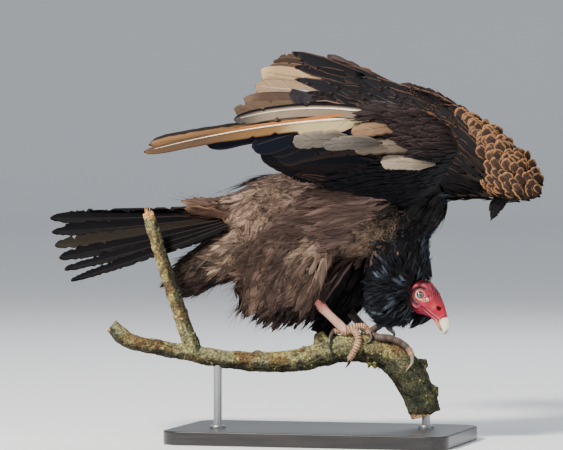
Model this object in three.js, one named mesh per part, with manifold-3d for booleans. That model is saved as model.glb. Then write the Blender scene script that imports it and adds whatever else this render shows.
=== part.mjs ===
// A turkey vulture at life size. It leans forward on a cut length of branch with both wings
// raised over its back and half folded, and a plain stand holds the branch.
// Millimetres. The bird heads +X, its left side is +Y, and +Z is up.
import * as THREE from 'three';
import { mergeVertices } from 'three/addons/utils/BufferGeometryUtils.js';
import Module from 'manifold-3d';

const wasm = await Module();
wasm.setup();

// Driving dimensions
const gap = 0.35;                    // left between two pieces that touch
const simplifyWithin = 0.2;          // how far a cut surface may move as its slivers are merged
const perchTurn = Math.PI / 12;      // how far the branch is turned from the bird's own axis
const perchSetBack = 22;             // how far the branch lies to the bird's right of the floor's centre
const headPlace = [179, 0, 214];     // midway between the eyes
const headPitch = THREE.MathUtils.degToRad(50);
const headYaw = THREE.MathUtils.degToRad(13);
const eyeRadius = 7.5;
const eyeApart = 10.6;               // from the head's middle plane to an eye's centre
const billHornStart = 45.4;          // where the horny tip of the bill begins, ahead of the eye
const vaneThickness = 1.6;           // a flight feather with its barbs and shaft
const vaneLap = 2;                   // how far a feather stands proud of the one it laps over
const rectrixCount = 12;
const rectrixLength = 288;
const primaryCount = 10;
const secondaryCount = 12;
const standLength = 420;
const standWidth = 240;
const standThickness = 20;
const standCentre = [35, -12];
const rodRadius = 6;
const footPadRadius = 7.5;
const toeRadii = [5.6, 4.2];         // at the foot and at the claw
const clawRadii = [3.8, 0.8];
const wispSize = [24, 8];            // width and depth of a lock of the ruff at its root
const fringeSize = [30, 10];         // the same for the thighs
const alulaSize = [22, 5];

// How finely each form is faceted: sides round it and steps along it.
const facets = {
  trunk: [14, 9], head: [14, 9], bill: [8, 5], neck: [12, 7], upperCoverts: [8, 4], lowerCoverts: [10, 5],
  thigh: [12, 6], shank: [8, 4], lock: [4, 2], branch: [8, 16], stub: [8, 7], knob: [7, 2], eye: [9, 6],
  footPad: [7, 4], toeSides: 5, clawSides: 4, wingAcross: 4, wingStepsPerSide: 12,
  rodSides: 12, standCorner: 4,
  rectrixSteps: 2, primarySteps: 3, secondarySteps: 2,
};

// ---------------------------------------------------------------- shape helpers

const point = (x, y, z) => new THREE.Vector3(x, y, z);
const sideways = point(0, 1, 0);
const curveThrough = (places) => new THREE.CatmullRomCurve3(places.map(([x, y, z]) => point(x, y, z)));
const mix = THREE.MathUtils.lerp;

function bend(geometry, placeOf) {
  geometry.deleteAttribute('normal');
  geometry.deleteAttribute('uv');
  const closed = mergeVertices(geometry, 1e-5);
  const positions = closed.attributes.position;
  for (let i = 0; i < positions.count; i += 1) {
    const place = placeOf(new THREE.Vector3().fromBufferAttribute(positions, i));
    positions.setXYZ(i, place.x, place.y, place.z);
  }
  return closed;
}

// A closed tube of oval sections. Each station is [x, y, z, half height, half width].
function tube(stations, sides, steps, { across = sideways, grow = 0 } = {}) {
  const spine = curveThrough(stations);
  const girth = curveThrough(stations.map(([, , , high, wide]) => [high, wide, 0]));
  return bend(new THREE.CylinderGeometry(1, 1, 1, sides, steps), (p) => {
    const t = THREE.MathUtils.clamp(p.y + 0.5, 0, 1);
    const along = spine.getTangent(t);
    const side = across.clone().addScaledVector(along, -across.dot(along)).normalize();
    const up = side.clone().cross(along);
    const size = girth.getPoint(t);
    const endShift = grow * Math.sign(Math.round(p.y * 2.001));
    return spine.getPoint(t)
      .addScaledVector(side, p.x * (size.y + grow))
      .addScaledVector(up, p.z * (size.x + grow))
      .addScaledVector(along, endShift);
  });
}

// A closed curved plate about the surface that surfaceAt(u, v) gives, u and v from 0 to 1.
// warp(u, v) may slide a place over the surface and lift it off: it returns [u, v, lift].
function plate(surfaceAt, thicknessAt, uSteps, vSteps, { grow = 0, warp = (u, v) => [u, v, 0] } = {}) {
  const reach = 0.01;
  return bend(new THREE.BoxGeometry(1, 1, 1, uSteps, vSteps, 1), (p) => {
    const [u, v, lift] = warp(p.x + 0.5, p.y + 0.5);
    const alongU = surfaceAt(u + reach, v).sub(surfaceAt(u - reach, v)).normalize();
    const alongV = surfaceAt(u, v + reach).sub(surfaceAt(u, v - reach)).normalize();
    const outward = alongU.clone().cross(alongV).normalize();
    const edgeU = Math.abs(p.x) > 0.499 ? Math.sign(p.x) * grow : 0;
    const edgeV = Math.abs(p.y) > 0.499 ? Math.sign(p.y) * grow : 0;
    return surfaceAt(u, v)
      .addScaledVector(outward, lift + Math.sign(p.z) * (thicknessAt(u, v) / 2 + grow))
      .addScaledVector(alongU, edgeU)
      .addScaledVector(alongV, edgeV);
  });
}

// A fan of overlapping flight feathers in one plate. quillAt and tipAt give the two ends of a shaft,
// share 0 to 1 across the fan; slots are cut between the tips, and each feather laps over the next.
function fan({ quillAt, tipAt, count, steps, bows, slots }) {
  const placesInFeather = [0, 0.25, 0.8];
  const tipShares = [0, 0.97, 0.98];
  const surfaceAt = (u, share) => {
    const quill = quillAt(share);
    const tip = tipAt(share);
    const bow = 4 * u * (1 - u) * mix(...bows, share);
    return quill.lerp(tip, u).add(point(0, 0, bow));
  };
  const warp = (u, v) => {
    const sample = Math.round(v * count * placesInFeather.length);
    const place = sample % placesInFeather.length;
    const share = (Math.floor(sample / placesInFeather.length) + placesInFeather[place]) / count;
    const slot = mix(...slots, share);
    const onOuterEdge = share === 0 || share === 1;
    const tipShare = place === 0 ? 1 - slot * (onOuterEdge ? 0.5 : 1) : tipShares[place];
    return [u * tipShare, share, vaneLap * (placesInFeather[place] - 0.5)];
  };
  return solidOf(plate(surfaceAt, () => vaneThickness, steps, count * placesInFeather.length, { warp }));
}

// A pointed lock of small feathers, flattened across `across`.
function lock(root, tip, [width, depth], across) {
  const stations = [0, 0.55, 1].map((t, i) => {
    const share = [1, 0.85, 0.08][i];
    const place = root.clone().lerp(tip, t);
    return [place.x, place.y, place.z, (width / 2) * share, (depth / 2) * share];
  });
  return tube(stations, ...facets.lock, { across });
}

function solidOf(geometry) {
  return new wasm.Manifold(new wasm.Mesh({
    numProp: 3,
    vertProperties: new Float32Array(geometry.attributes.position.array),
    triVerts: new Uint32Array(geometry.index.array),
  }));
}

function geometryOf(solid) {
  const { vertProperties, triVerts } = solid.getMesh();
  const geometry = new THREE.BufferGeometry();
  geometry.setAttribute('position', new THREE.BufferAttribute(vertProperties, 3));
  geometry.setIndex(new THREE.BufferAttribute(triVerts, 1));
  return geometry;
}

const joined = (solids) => solids.reduce((whole, next) => whole.add(next));
const without = (solid, ...cutters) => cutters.reduce((rest, cutter) => rest.subtract(cutter), solid);

// The largest body of a cut solid: what is left of a root buried in its neighbour is dropped.
function mainBody(solid) {
  return solid.decompose().reduce((best, next) => (next.volume() > best.volume() ? next : best));
}

const root = new THREE.Group();

function addPiece(name, solid, colour, roughness = 0.8, metalness = 0) {
  const material = new THREE.MeshStandardMaterial({ color: colour, roughness, metalness });
  const mesh = new THREE.Mesh(geometryOf(mainBody(solid.simplify(simplifyWithin))), material);
  mesh.name = name;
  root.add(mesh);
}

// ---------------------------------------------------------------- perch

// The branch lies in one upright plane, so a place on it is [distance along that plane, height].
const perchAlong = point(Math.cos(perchTurn), Math.sin(perchTurn), 0);
const perchNear = point(Math.sin(perchTurn), -Math.cos(perchTurn), 0);

function inPerchPlane(along, height, depth = 0) {
  return perchAlong.clone().multiplyScalar(along)
    .addScaledVector(perchNear, perchSetBack + depth)
    .setZ(height);
}

const branchLine = [
  // along, height, radius
  [-273, 168, 10], [-246, 146, 11], [-203, 136, 11], [-146, 126, 12], [-94, 118, 13], [-43, 116, 14.5],
  [0, 119, 16], [37, 129, 18], [66, 136, 20], [102, 133, 20.5], [134, 122, 23], [157, 96, 25],
  [171, 71, 23], [182, 39, 22],
];
const stubLine = [
  [-151, 127, 12], [-168, 171, 10.5], [-188, 230, 10], [-206, 286, 9], [-219, 328, 8], [-221, 338, 3],
];
const knobs = [
  // along, height, radius, and how far its end stands out along and up
  [33, 134, 12, -6, 24], [160, 108, 10, 24, 6], [176, 76, 12, 24, -3], [-60, 120, 8, -3, 12],
];

function perchStations(line) {
  return line.map(([along, height, radius], i) => {
    const place = inPerchPlane(along, height);
    const lumpy = 1 + 0.05 * Math.sin(i * 2.4);
    return [place.x, place.y, place.z, radius * lumpy, radius];
  });
}

function perchSolid(line, [sides, steps], grow = 0) {
  return solidOf(tube(perchStations(line), sides, steps, { across: perchNear, grow }));
}

function knobSolids(grow = 0) {
  return knobs.map(([along, height, radius, outAlong, outUp]) => {
    const line = [[0, 1], [0.6, 0.9], [1, 0.5]].map(([t, share]) => (
      [along + outAlong * t, height + outUp * t, radius * share]));
    return perchSolid(line, facets.knob, grow);
  });
}

const branchWhole = (grow) => joined([perchSolid(branchLine, facets.branch, grow), ...knobSolids(grow)]);
const branch = branchWhole(0);
const branchGrown = branchWhole(gap);
addPiece('perch_branch', branch, 0x6f6a52, 0.9);
addPiece('perch_stub', without(perchSolid(stubLine, facets.stub), branchGrown), 0x857a5c, 0.9);

// A place that hugs the branch: seen side-on at [along, height], it stands `lift` off the bark
// on the near side (side 1) or the far side (side -1).
const branchCentre = curveThrough(branchLine);
const branchSamples = branchCentre.getPoints(400);

function hug([along, height, lift, side = 1]) {
  const nearest = branchSamples.reduce((best, sample) => {
    const distance = Math.hypot(sample.x - along, sample.y - height);
    return distance < best.distance ? { distance, radius: sample.z } : best;
  }, { distance: Infinity, radius: 0 });
  const reach = nearest.radius + lift;
  const depth = Math.sqrt(Math.max(0, reach * reach - nearest.distance * nearest.distance));
  return inPerchPlane(along, height, side * depth);
}

// ---------------------------------------------------------------- trunk, neck and tail

const trunkStations = [
  [-111, 0, 315, 12, 16], [-92, 0, 321, 32, 30], [-57, 0, 329, 48, 44], [-15, 0, 332, 58, 56],
  [38, 0, 335, 68, 64], [90, 0, 338, 72, 67], [143, 0, 341, 68, 62], [183, 0, 344, 52, 50],
  [208, 0, 342, 30, 34], [218, 0, 339, 8, 10],
];
const trunkSolid = (grow) => solidOf(tube(trunkStations, ...facets.trunk, { grow }));
const trunk = trunkSolid(0);
const trunkGrown = trunkSolid(gap);
addPiece('trunk', trunk, 0x2f2621);

const headFrame = new THREE.Matrix4()
  .makeRotationFromEuler(new THREE.Euler(0, headPitch, headYaw, 'ZYX'))
  .setPosition(...headPlace);

// Stations of the head: [ahead of the eye, crown height, throat height, half width].
const headProfile = [
  [-18.2, 5, -1, 4], [-16, 13, -7, 9.5], [-10, 20.5, -15, 14.5], [-2, 23.5, -21.8, 17],
  [7, 23.6, -24.2, 17.4], [16, 22.4, -21.5, 16], [26, 19.6, -14.8, 12.4], [36, 16, -10, 8.6],
  [billHornStart - 0.4, 11.6, -7.8, 6.8],
];
const headStations = headProfile.map(([ahead, crown, throat, wide]) => (
  [ahead, 0, (crown + throat) / 2, (crown - throat) / 2, wide]));
const headSolid = (grow) => solidOf(tube(headStations, ...facets.head, { grow }).applyMatrix4(headFrame));

function eyeSolid(side, grow) {
  const ball = bend(new THREE.SphereGeometry(eyeRadius + grow, ...facets.eye), (p) => p);
  return solidOf(ball.applyMatrix4(headFrame.clone().multiply(
    new THREE.Matrix4().makeTranslation(0, side * eyeApart, 0))));
}

const headGrown = headSolid(gap);
addPiece('head', without(headSolid(0), eyeSolid(-1, gap), eyeSolid(1, gap)), 0xa5283a, 0.55);
addPiece('right_eye', eyeSolid(-1, 0), 0x1c1512, 0.1);
addPiece('left_eye', eyeSolid(1, 0), 0x1c1512, 0.1);

const upperBillStations = [
  [billHornStart, 0, 4.8, 6.6, 6.4], [53.5, 0, 3.1, 5.7, 5.3], [60, 0, 0.2, 4.8, 4], [64, 0, -4.6, 3.2, 2.6],
  [65.8, 0, -10.6, 0.7, 0.6],
];
const lowerBillStations = [
  [billHornStart, 0, -4.9, 2.4, 5.8], [53, 0, -5.3, 2.1, 4.6], [59.5, 0, -6.6, 0.8, 1.8],
];
const billSolid = (stations, grow) => (
  solidOf(tube(stations, ...facets.bill, { grow }).applyMatrix4(headFrame)));
addPiece('upper_bill', without(billSolid(upperBillStations, 0), headGrown), 0xe9dcc4, 0.35);
addPiece('lower_bill', without(billSolid(lowerBillStations, 0), headGrown, billSolid(upperBillStations, gap)),
  0xdccbb0, 0.35);

// The neck with its ruff hangs from the front of the trunk, and its lower edge ends in wisps.
const neckStations = [
  [163, 0, 350, 44, 44], [154, 0, 313, 40, 43], [147, 0, 277, 41, 42], [146, 0, 246, 46, 41],
  [132, 0, 214, 36, 36], [138, 0, 190, 26, 28], [148, 0, 177, 12, 14],
];
const ruffWisps = [
  // along the body, across it, height of the tip, and how far back the root lies
  [104, -20, 207, 30], [112, 8, 194, 28], [126, -16, 181, 22], [146, 2, 169, 12], [160, -14, 169, 4],
  [173, -22, 177, -10],
];
const wispRise = 30;                 // how high a wisp's root lies above its tip
const wisps = ruffWisps.map(([x, y, z, back]) => solidOf(lock(
  point(x + back, y * 0.8, z + wispRise), point(x, y, z), wispSize, sideways)));
const neckSolid = (grow) => solidOf(tube(neckStations, ...facets.neck, { grow }));
const neckCut = without(joined([neckSolid(0), ...wisps]), trunkGrown, headGrown);
const neckGrown = neckSolid(gap);
addPiece('neck', without(neckCut, eyeSolid(-1, gap), eyeSolid(1, gap)), 0x14151a);

// Coverts of the tail: a flat pointed wedge above the rectrices and a looser one under them.
const upperCovertStations = [
  [-40, 0, 344, 26, 34], [-90, 0, 342, 19, 30], [-125, 0, 341, 10, 21], [-156, 0, 341, 3, 6],
];
const lowerCovertStations = [
  [-40, -4, 290, 36, 38], [-98, -5, 268, 35, 32], [-140, -7, 253, 29, 24], [-168, -9, 240, 19, 15],
  [-184, -10, 232, 4, 4],
];
const upperCovertsSolid = (grow) => solidOf(tube(upperCovertStations, ...facets.upperCoverts, { grow }));
const lowerCovertsSolid = (grow) => solidOf(tube(lowerCovertStations, ...facets.lowerCoverts, { grow }));
const upperCovertsGrown = upperCovertsSolid(gap);
const lowerCovertsGrown = lowerCovertsSolid(gap);
// Loose locks that hang below the lower coverts: [x, y, height] of each tip.
const ventTips = [[-172, -14, 213], [-146, -14, 216]];
const ventRoot = point(-104, -10, 252);
const ventLocks = ventTips.map((tip) => solidOf(lock(ventRoot, point(...tip), wispSize, sideways)));
addPiece('tail_coverts_upper', without(upperCovertsSolid(0), trunkGrown), 0x3a2d26);
addPiece('tail_coverts_lower', without(joined([lowerCovertsSolid(0), ...ventLocks]), trunkGrown), 0x33302c);

// The tail is fanned a little, and its right half hangs lower than its left.
const tailRoot = point(-93, 0, 334);
const tailFan = THREE.MathUtils.degToRad(29);
const tailDroop = { right: THREE.MathUtils.degToRad(50), left: THREE.MathUtils.degToRad(24) };

function rectrixEnds(share) {
  const fromMiddle = THREE.MathUtils.clamp(share, 0, 1) * 2 - 1;
  const spread = Math.abs(fromMiddle);
  const droop = fromMiddle < 0 ? tailDroop.right : tailDroop.left;
  const swing = tailFan * spread;
  const outAndDown = point(0, Math.sign(fromMiddle) * Math.cos(droop), -Math.sin(droop));
  const reach = outAndDown.multiplyScalar(Math.sin(swing)).add(point(-Math.cos(swing), 0, 0));
  const quill = tailRoot.clone().add(point(0, fromMiddle * 24, -14 * spread));
  const length = rectrixLength * mix(1, 0.86, spread);
  return { quill, tip: quill.clone().addScaledVector(reach, length) };
}

const tail = fan({
  quillAt: (share) => rectrixEnds(share).quill, tipAt: (share) => rectrixEnds(share).tip,
  count: rectrixCount, steps: facets.rectrixSteps, bows: [-3, -3], slots: [0.3, 0.14],
});
addPiece('tail', without(tail, trunkGrown, upperCovertsGrown, lowerCovertsGrown), 0x1f1a19);

// ---------------------------------------------------------------- legs

// Feathered thighs, each with a fringe of long locks. Fringe entries are [x, y, height] of a tip.
const thighs = {
  right: {
    stations: [[34, -34, 322, 34, 24], [12, -44, 288, 54, 32], [-10, -47, 251, 62, 34],
      [-16, -45, 216, 58, 29], [-17, -42, 190, 44, 18], [-17, -41, 176, 14, 8]],
    fringe: [[-88, -48, 226], [-70, -48, 182], [-48, -46, 184], [-22, -44, 171], [2, -42, 168],
      [24, -40, 174]],
  },
  left: {
    stations: [[44, 34, 312, 38, 28], [56, 42, 276, 46, 34], [61, 44, 243, 44, 32], [62, 43, 214, 34, 26],
      [60, 41, 194, 21, 16], [60, 40, 184, 7, 6]],
    fringe: [[26, 44, 196], [44, 44, 184], [62, 42, 180], [78, 40, 190]],
  },
};

const shanks = {
  right: [[33, -40, 208, 8, 8], [42, -36, 196, 7, 6.5], [53, -29, 183, 6, 5.5], [66, -19, 168, 6.5, 6],
    [72, -16, 161, 6, 6]],
  left: [[56, 39, 197, 8, 8], [66, 35, 186, 7, 6.5], [76, 31, 176, 6, 5.5], [92, 24, 161, 6.5, 6],
    [98, 21, 155, 6, 6]],
};

// A toe hugs the branch from the foot's base, and its claw goes on from the last place.
const feet = {
  right: {
    base: [65, 161, 7, 1],
    toes: [
      { path: [[56, 161, 7, 1], [48, 160, 8, 1]],
        claw: [[43, 151, 6, 1], [42, 139, 4, 1], [46, 129, 2.2, 1]] },
      { path: [[69, 163, 8, -1], [70, 150, 5, -1], [65, 134, 5, -1]],
        claw: [[61, 123, 5, -1], [57, 116, 5, -1]] },
      { path: [[81, 167, 13, 1], [93, 167, 14, 1], [100, 158, 6, 1]],
        claw: [[103, 152, 5, 1], [99, 146, 3.5, 1], [93, 143, 2.4, 1]] },
      { path: [[78, 161, 8, 1], [84, 148, 5, 1], [78, 132, 5, 1], [71, 121, 5, 1]],
        claw: [[70, 114, 6, 1], [65, 107, 12, 1]] },
    ],
  },
  left: {
    base: [101, 154, 7, -1],
    toes: [
      { path: [[95, 155, 7, -1], [89, 153, 6, -1]],
        claw: [[84, 147, 5, -1], [81, 138, 3.4, -1], [83, 129, 2.4, -1]] },
      { path: [[109, 164, 12, -1], [122, 170, 21, -1], [130, 164, 17, 1]],
        claw: [[136, 156, 9, 1], [133, 147, 3, 1]] },
      { path: [[114, 152, 6, 1], [128, 151, 7, 1], [146, 144, 7, 1], [157, 134, 7, 1], [161, 126, 6, 1]],
        claw: [[161, 116, 4, 1], [152, 104, 2.4, 1]] },
      { path: [[110, 150, 6, -1], [119, 138, 5, -1], [120, 123, 5, -1]],
        claw: [[118, 112, 5, -1], [113, 103, 5, -1]] },
    ],
  },
};

function limbStations(places, [startRadius, endRadius]) {
  return places.map((place, i) => {
    const radius = mix(startRadius, endRadius, i / (places.length - 1));
    return [place.x, place.y, place.z, radius, radius];
  });
}

function thighSolid(side, grow = 0) {
  return solidOf(tube(thighs[side].stations, ...facets.thigh, { grow }));
}

for (const side of ['right', 'left']) {
  const { stations, fringe } = thighs[side];
  const skirt = fringe.map(([x, y, z]) => {
    const [topX, topY, topZ] = stations[2];
    const tip = point(x, y, z);
    return solidOf(lock(tip.clone().lerp(point(topX, topY, topZ), 0.5), tip, fringeSize, sideways));
  });
  const { base, toes } = feet[side];
  const padPlace = hug(base);
  const pad = (grow) => (
    solidOf(bend(new THREE.SphereGeometry(footPadRadius + grow, ...facets.footPad), (p) => p.add(padPlace))));
  const toeEnds = toes.map(({ path }) => hug(path.at(-1)));
  const toeSolid = ({ path }, grow) => {
    const toeStations = limbStations([base, ...path].map(hug), toeRadii);
    return solidOf(tube(toeStations, facets.toeSides, path.length * 2, { grow }));
  };
  const footSolid = (grow) => joined([pad(grow), ...toes.map((toe) => toeSolid(toe, grow))]);
  const foot = footSolid(0);
  const footGrown = footSolid(gap);
  const shank = (grow) => solidOf(tube(shanks[side], ...facets.shank, { grow }));
  const otherLegThigh = side === 'left' ? [thighSolid('right', gap)] : [];
  const neighbours = [trunkGrown, neckGrown, lowerCovertsGrown, ...ventLocks, shank(gap), ...otherLegThigh];

  addPiece(`${side}_thigh`, without(joined([thighSolid(side), ...skirt]), ...neighbours), 0x4a3a2e);
  addPiece(`${side}_shank`, without(shank(0), footGrown, branchGrown), 0xcdb4a2, 0.6);
  addPiece(`${side}_foot`, without(foot, branchGrown), 0xa68a72, 0.7);
  toes.forEach(({ claw }, index) => {
    const places = [toeEnds[index], ...claw.map(hug)];
    const clawTube = solidOf(tube(limbStations(places, clawRadii), facets.clawSides, claw.length + 2));
    addPiece(`${side}_claw_${index + 1}`, without(clawTube, footGrown, branchGrown), 0x2a2624, 0.4);
  });
}

// ---------------------------------------------------------------- wings

// A wing's body is a bowed sheet between its leading edge, which runs from the shoulder round the
// wrist to the end of the hand, and the line where the coverts give way to the flight feathers.
const wings = {
  right: {
    outward: -1,
    leading: [[186, -38, 345], [218, -78, 368], [250, -118, 396], [272, -156, 432], [244, -171, 469],
      [178, -178, 480]],
    trailing: [[92, -48, 362], [84, -90, 374], [106, -128, 400], [140, -158, 440], [148, -180, 473]],
    primaryTips: [[-116, -228, 451], [-166, -235, 424], [-146, -232, 418], [-90, -222, 419], [-30, -203, 422],
      [44, -172, 423]],
    primaryBows: [12, 2],
    primarySlots: [0.05, 0.08],
    secondaryTips: [[43, -150, 424], [-22, -136, 422], [18, -92, 386]],
    alula: null,
  },
  left: {
    outward: 1,
    leading: [[182, 38, 350], [262, 78, 354], [318, 98, 346], [340, 106, 358], [324, 112, 399],
      [283, 120, 436], [240, 128, 465], [174, 135, 501]],
    trailing: [[96, 48, 362], [76, 88, 422], [55, 108, 465], [44, 128, 505], [44, 140, 535]],
    primaryTips: [[-77, 230, 562], [-115, 235, 557], [-121, 233, 542], [-130, 228, 523], [-153, 212, 500],
      [-158, 205, 480], [-122, 190, 462], [-70, 178, 457]],
    primaryBows: [0, 0],
    primarySlots: [0.1, 0.08],
    secondaryTips: [[-73, 165, 508], [-52, 146, 512], [-4, 112, 488]],
    alula: { root: [280, 88, 352], tip: [262, 92, 320] },
  },
};

const wingParts = [
  // name, and where it starts and ends along the leading edge
  ['upper_arm', 0, 0.328], ['forearm', 0.335, 0.595], ['hand', 0.605, 1],
];
const wingThickness = { front: 24, back: 9 };
const wingBulge = 7;

function wingSurface({ leading, trailing, outward }) {
  const front = curveThrough(leading);
  const back = curveThrough(trailing);
  return (along, behind) => {
    const t = THREE.MathUtils.clamp(along, 0, 1);
    const place = front.getPoint(t).lerp(back.getPoint(t), behind);
    place.y += outward * wingBulge * Math.sin(Math.PI * THREE.MathUtils.clamp(behind, 0, 1));
    return place;
  };
}

const wingDepth = (behind) => {
  const nose = Math.sqrt(THREE.MathUtils.clamp(behind / 0.22, 0.04, 1));
  return mix(wingThickness.front, wingThickness.back, behind) * nose;
};

function wingBlock(surface, from, to, grow = 0) {
  const sideSteps = Math.round((to - from) * facets.wingStepsPerSide);
  const surfaceOfBlock = (u, v) => surface(mix(from, to, v), u);
  return solidOf(plate(surfaceOfBlock, (u) => wingDepth(u), facets.wingAcross, sideSteps, { grow }));
}

for (const [side, wing] of Object.entries(wings)) {
  const surface = wingSurface(wing);
  const blocksGrown = wingParts.map(([, from, to]) => wingBlock(surface, from, to, gap));
  for (const [part, from, to] of wingParts) {
    addPiece(`${side}_${part}`, without(wingBlock(surface, from, to), trunkGrown, neckGrown), 0x2b221d);
  }
  const primaryTips = curveThrough(wing.primaryTips);
  const secondaryTips = curveThrough(wing.secondaryTips);
  const besideSheet = (place, outwards) => place.add(point(0, wing.outward * outwards, 0));
  const primaries = fan({
    quillAt: (share) => besideSheet(surface(mix(1, 0.64, share), 0.7), 4),
    tipAt: (share) => primaryTips.getPoint(THREE.MathUtils.clamp(share, 0, 1)),
    count: primaryCount, steps: facets.primarySteps, bows: wing.primaryBows, slots: wing.primarySlots,
  });
  const secondaries = fan({
    quillAt: (share) => besideSheet(surface(mix(0.66, 0.1, share), 0.8), -4),
    tipAt: (share) => secondaryTips.getPoint(THREE.MathUtils.clamp(share, 0, 1)),
    count: secondaryCount, steps: facets.secondarySteps, bows: [2, 2], slots: [0.1, 0.1],
  });
  addPiece(`${side}_primaries`, without(primaries, ...blocksGrown, trunkGrown), 0x6b5c4d);
  addPiece(`${side}_secondaries`, without(secondaries, ...blocksGrown, primaries, trunkGrown), 0x3c3029);
  if (wing.alula) {
    const [rootPlace, tipPlace] = [wing.alula.root, wing.alula.tip].map(([x, y, z]) => point(x, y, z));
    const blade = lock(rootPlace, tipPlace, alulaSize, sideways);
    addPiece(`${side}_alula`, without(solidOf(blade), ...blocksGrown), 0x1a1918);
  }
}

// ---------------------------------------------------------------- display stand

function standBase() {
  const corner = 30;
  const [halfLength, halfWidth] = [standLength / 2, standWidth / 2];
  const outline = new THREE.Shape()
    .moveTo(-halfLength + corner, -halfWidth)
    .lineTo(halfLength - corner, -halfWidth)
    .absarc(halfLength - corner, -halfWidth + corner, corner, -Math.PI / 2, 0)
    .absarc(halfLength - corner, halfWidth - corner, corner, 0, Math.PI / 2)
    .absarc(-halfLength + corner, halfWidth - corner, corner, Math.PI / 2, Math.PI)
    .absarc(-halfLength + corner, -halfWidth + corner, corner, Math.PI, Math.PI * 1.5);
  const slab = new THREE.ExtrudeGeometry(outline, {
    depth: standThickness, bevelEnabled: false, curveSegments: facets.standCorner,
  });
  return solidOf(bend(slab, (p) => p.add(point(...standCentre, 0))));
}

// Each rod stands under the branch at this distance along it.
const rodPlaces = [182, -119];

function standRod(along) {
  const foot = inPerchPlane(along, standThickness + gap);
  const nearest = branchSamples.reduce((best, sample) => (
    Math.abs(sample.x - along) < Math.abs(best.x - along) ? sample : best));
  const height = nearest.y - foot.z;
  const rod = new THREE.CylinderGeometry(rodRadius, rodRadius, height, facets.rodSides);
  return solidOf(bend(rod, (p) => point(foot.x + p.x, foot.y + p.z, foot.z + height / 2 - p.y)));
}

addPiece('stand_base', standBase(), 0x2b2b2d, 0.5);
rodPlaces.forEach((along, index) => {
  addPiece(`stand_rod_${index + 1}`, without(standRod(along), branchGrown), 0x8a8d90, 0.35, 0.9);
});

// The origin is the middle of the whole object's box, on the floor.
const box = new THREE.Box3().setFromObject(root);
const middle = box.getCenter(new THREE.Vector3());
root.position.set(-middle.x, -middle.y, -box.min.z);

export default root;
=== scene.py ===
import math
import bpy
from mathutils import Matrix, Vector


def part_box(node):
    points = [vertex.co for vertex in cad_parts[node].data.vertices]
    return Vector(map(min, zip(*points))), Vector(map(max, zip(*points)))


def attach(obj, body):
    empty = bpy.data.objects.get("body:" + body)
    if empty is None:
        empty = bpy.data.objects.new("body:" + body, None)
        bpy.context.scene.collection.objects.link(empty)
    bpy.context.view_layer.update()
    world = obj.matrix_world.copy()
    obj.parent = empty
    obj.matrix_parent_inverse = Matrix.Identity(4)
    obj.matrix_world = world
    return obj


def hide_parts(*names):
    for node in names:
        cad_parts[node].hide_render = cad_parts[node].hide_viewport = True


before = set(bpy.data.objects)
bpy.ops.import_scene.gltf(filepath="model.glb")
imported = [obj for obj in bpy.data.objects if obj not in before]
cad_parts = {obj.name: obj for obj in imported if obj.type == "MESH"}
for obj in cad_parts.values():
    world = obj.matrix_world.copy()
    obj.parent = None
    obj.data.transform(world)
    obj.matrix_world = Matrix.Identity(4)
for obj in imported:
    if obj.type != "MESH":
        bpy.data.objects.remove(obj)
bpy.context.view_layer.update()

from types import SimpleNamespace

import bmesh
import bpy
import numpy as np
from mathutils import Matrix, Vector
from mathutils.bvhtree import BVHTree

# A turkey vulture at life size, in metres. Places are first given in millimetres of the bird's own
# frame, whose origin is on the floor between its feet; `spots` turns them into the shared frame.
baseLow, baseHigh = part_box("stand_base")
standMiddle = (35, -12)
birdOrigin = np.array([(baseLow.x + baseHigh.x) / 2, (baseLow.y + baseHigh.y) / 2, 0])
birdOrigin[:2] -= np.array(standMiddle) / 1000
up = np.array([0.0, 0.0, 1.0])
far = 1e9  # farther than anything, where a nearest distance is looked for


def spots(places):
    return np.asarray(places, float) / 1000 + birdOrigin


def inBird(places):  # the way back, to millimetres of the bird's frame
    return (places - birdOrigin) * 1000


def colour(red, green, blue):  # 0 to 255 as on a screen
    share = np.array([red, green, blue]) / 255
    return np.where(share < 0.04045, share / 12.92, ((share + 0.055) / 1.055) ** 2.4)


def towards(tone, target, share):  # the tone, taken to the target as far as each share says
    return tone + (target - tone) * np.clip(share, 0, 1)[:, None]


def unit(vectors):
    return vectors / np.maximum(np.linalg.norm(vectors, axis=-1, keepdims=True), 1e-12)


def ease(value, start, end):  # 0 before start, 1 after end, smooth between
    share = np.clip((value - start) / (end - start), 0, 1)
    return share * share * (3 - 2 * share)


def bump(distance, width):
    return np.exp(-(distance / width) ** 2)


def cloud(places, size, seed=0):  # smooth random values from -1 to 1, `size` from one to the next
    grid = np.asarray(places) / size + seed * 17.31
    cell = np.floor(grid).astype(np.int64)
    part = grid - cell
    part = part * part * (3 - 2 * part)
    total = np.zeros(grid.shape[:-1])
    for corner in range(8):
        step = np.array([corner & 1, corner >> 1 & 1, corner >> 2 & 1])
        key = (cell + step) @ np.array([7919, 104729, 15485863]) % 1000003
        value = np.sin(key * 12.9898) * 43758.5453 % 1 * 2 - 1
        total += value * np.prod(np.where(step, part, 1 - part), axis=-1)
    return total


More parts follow.
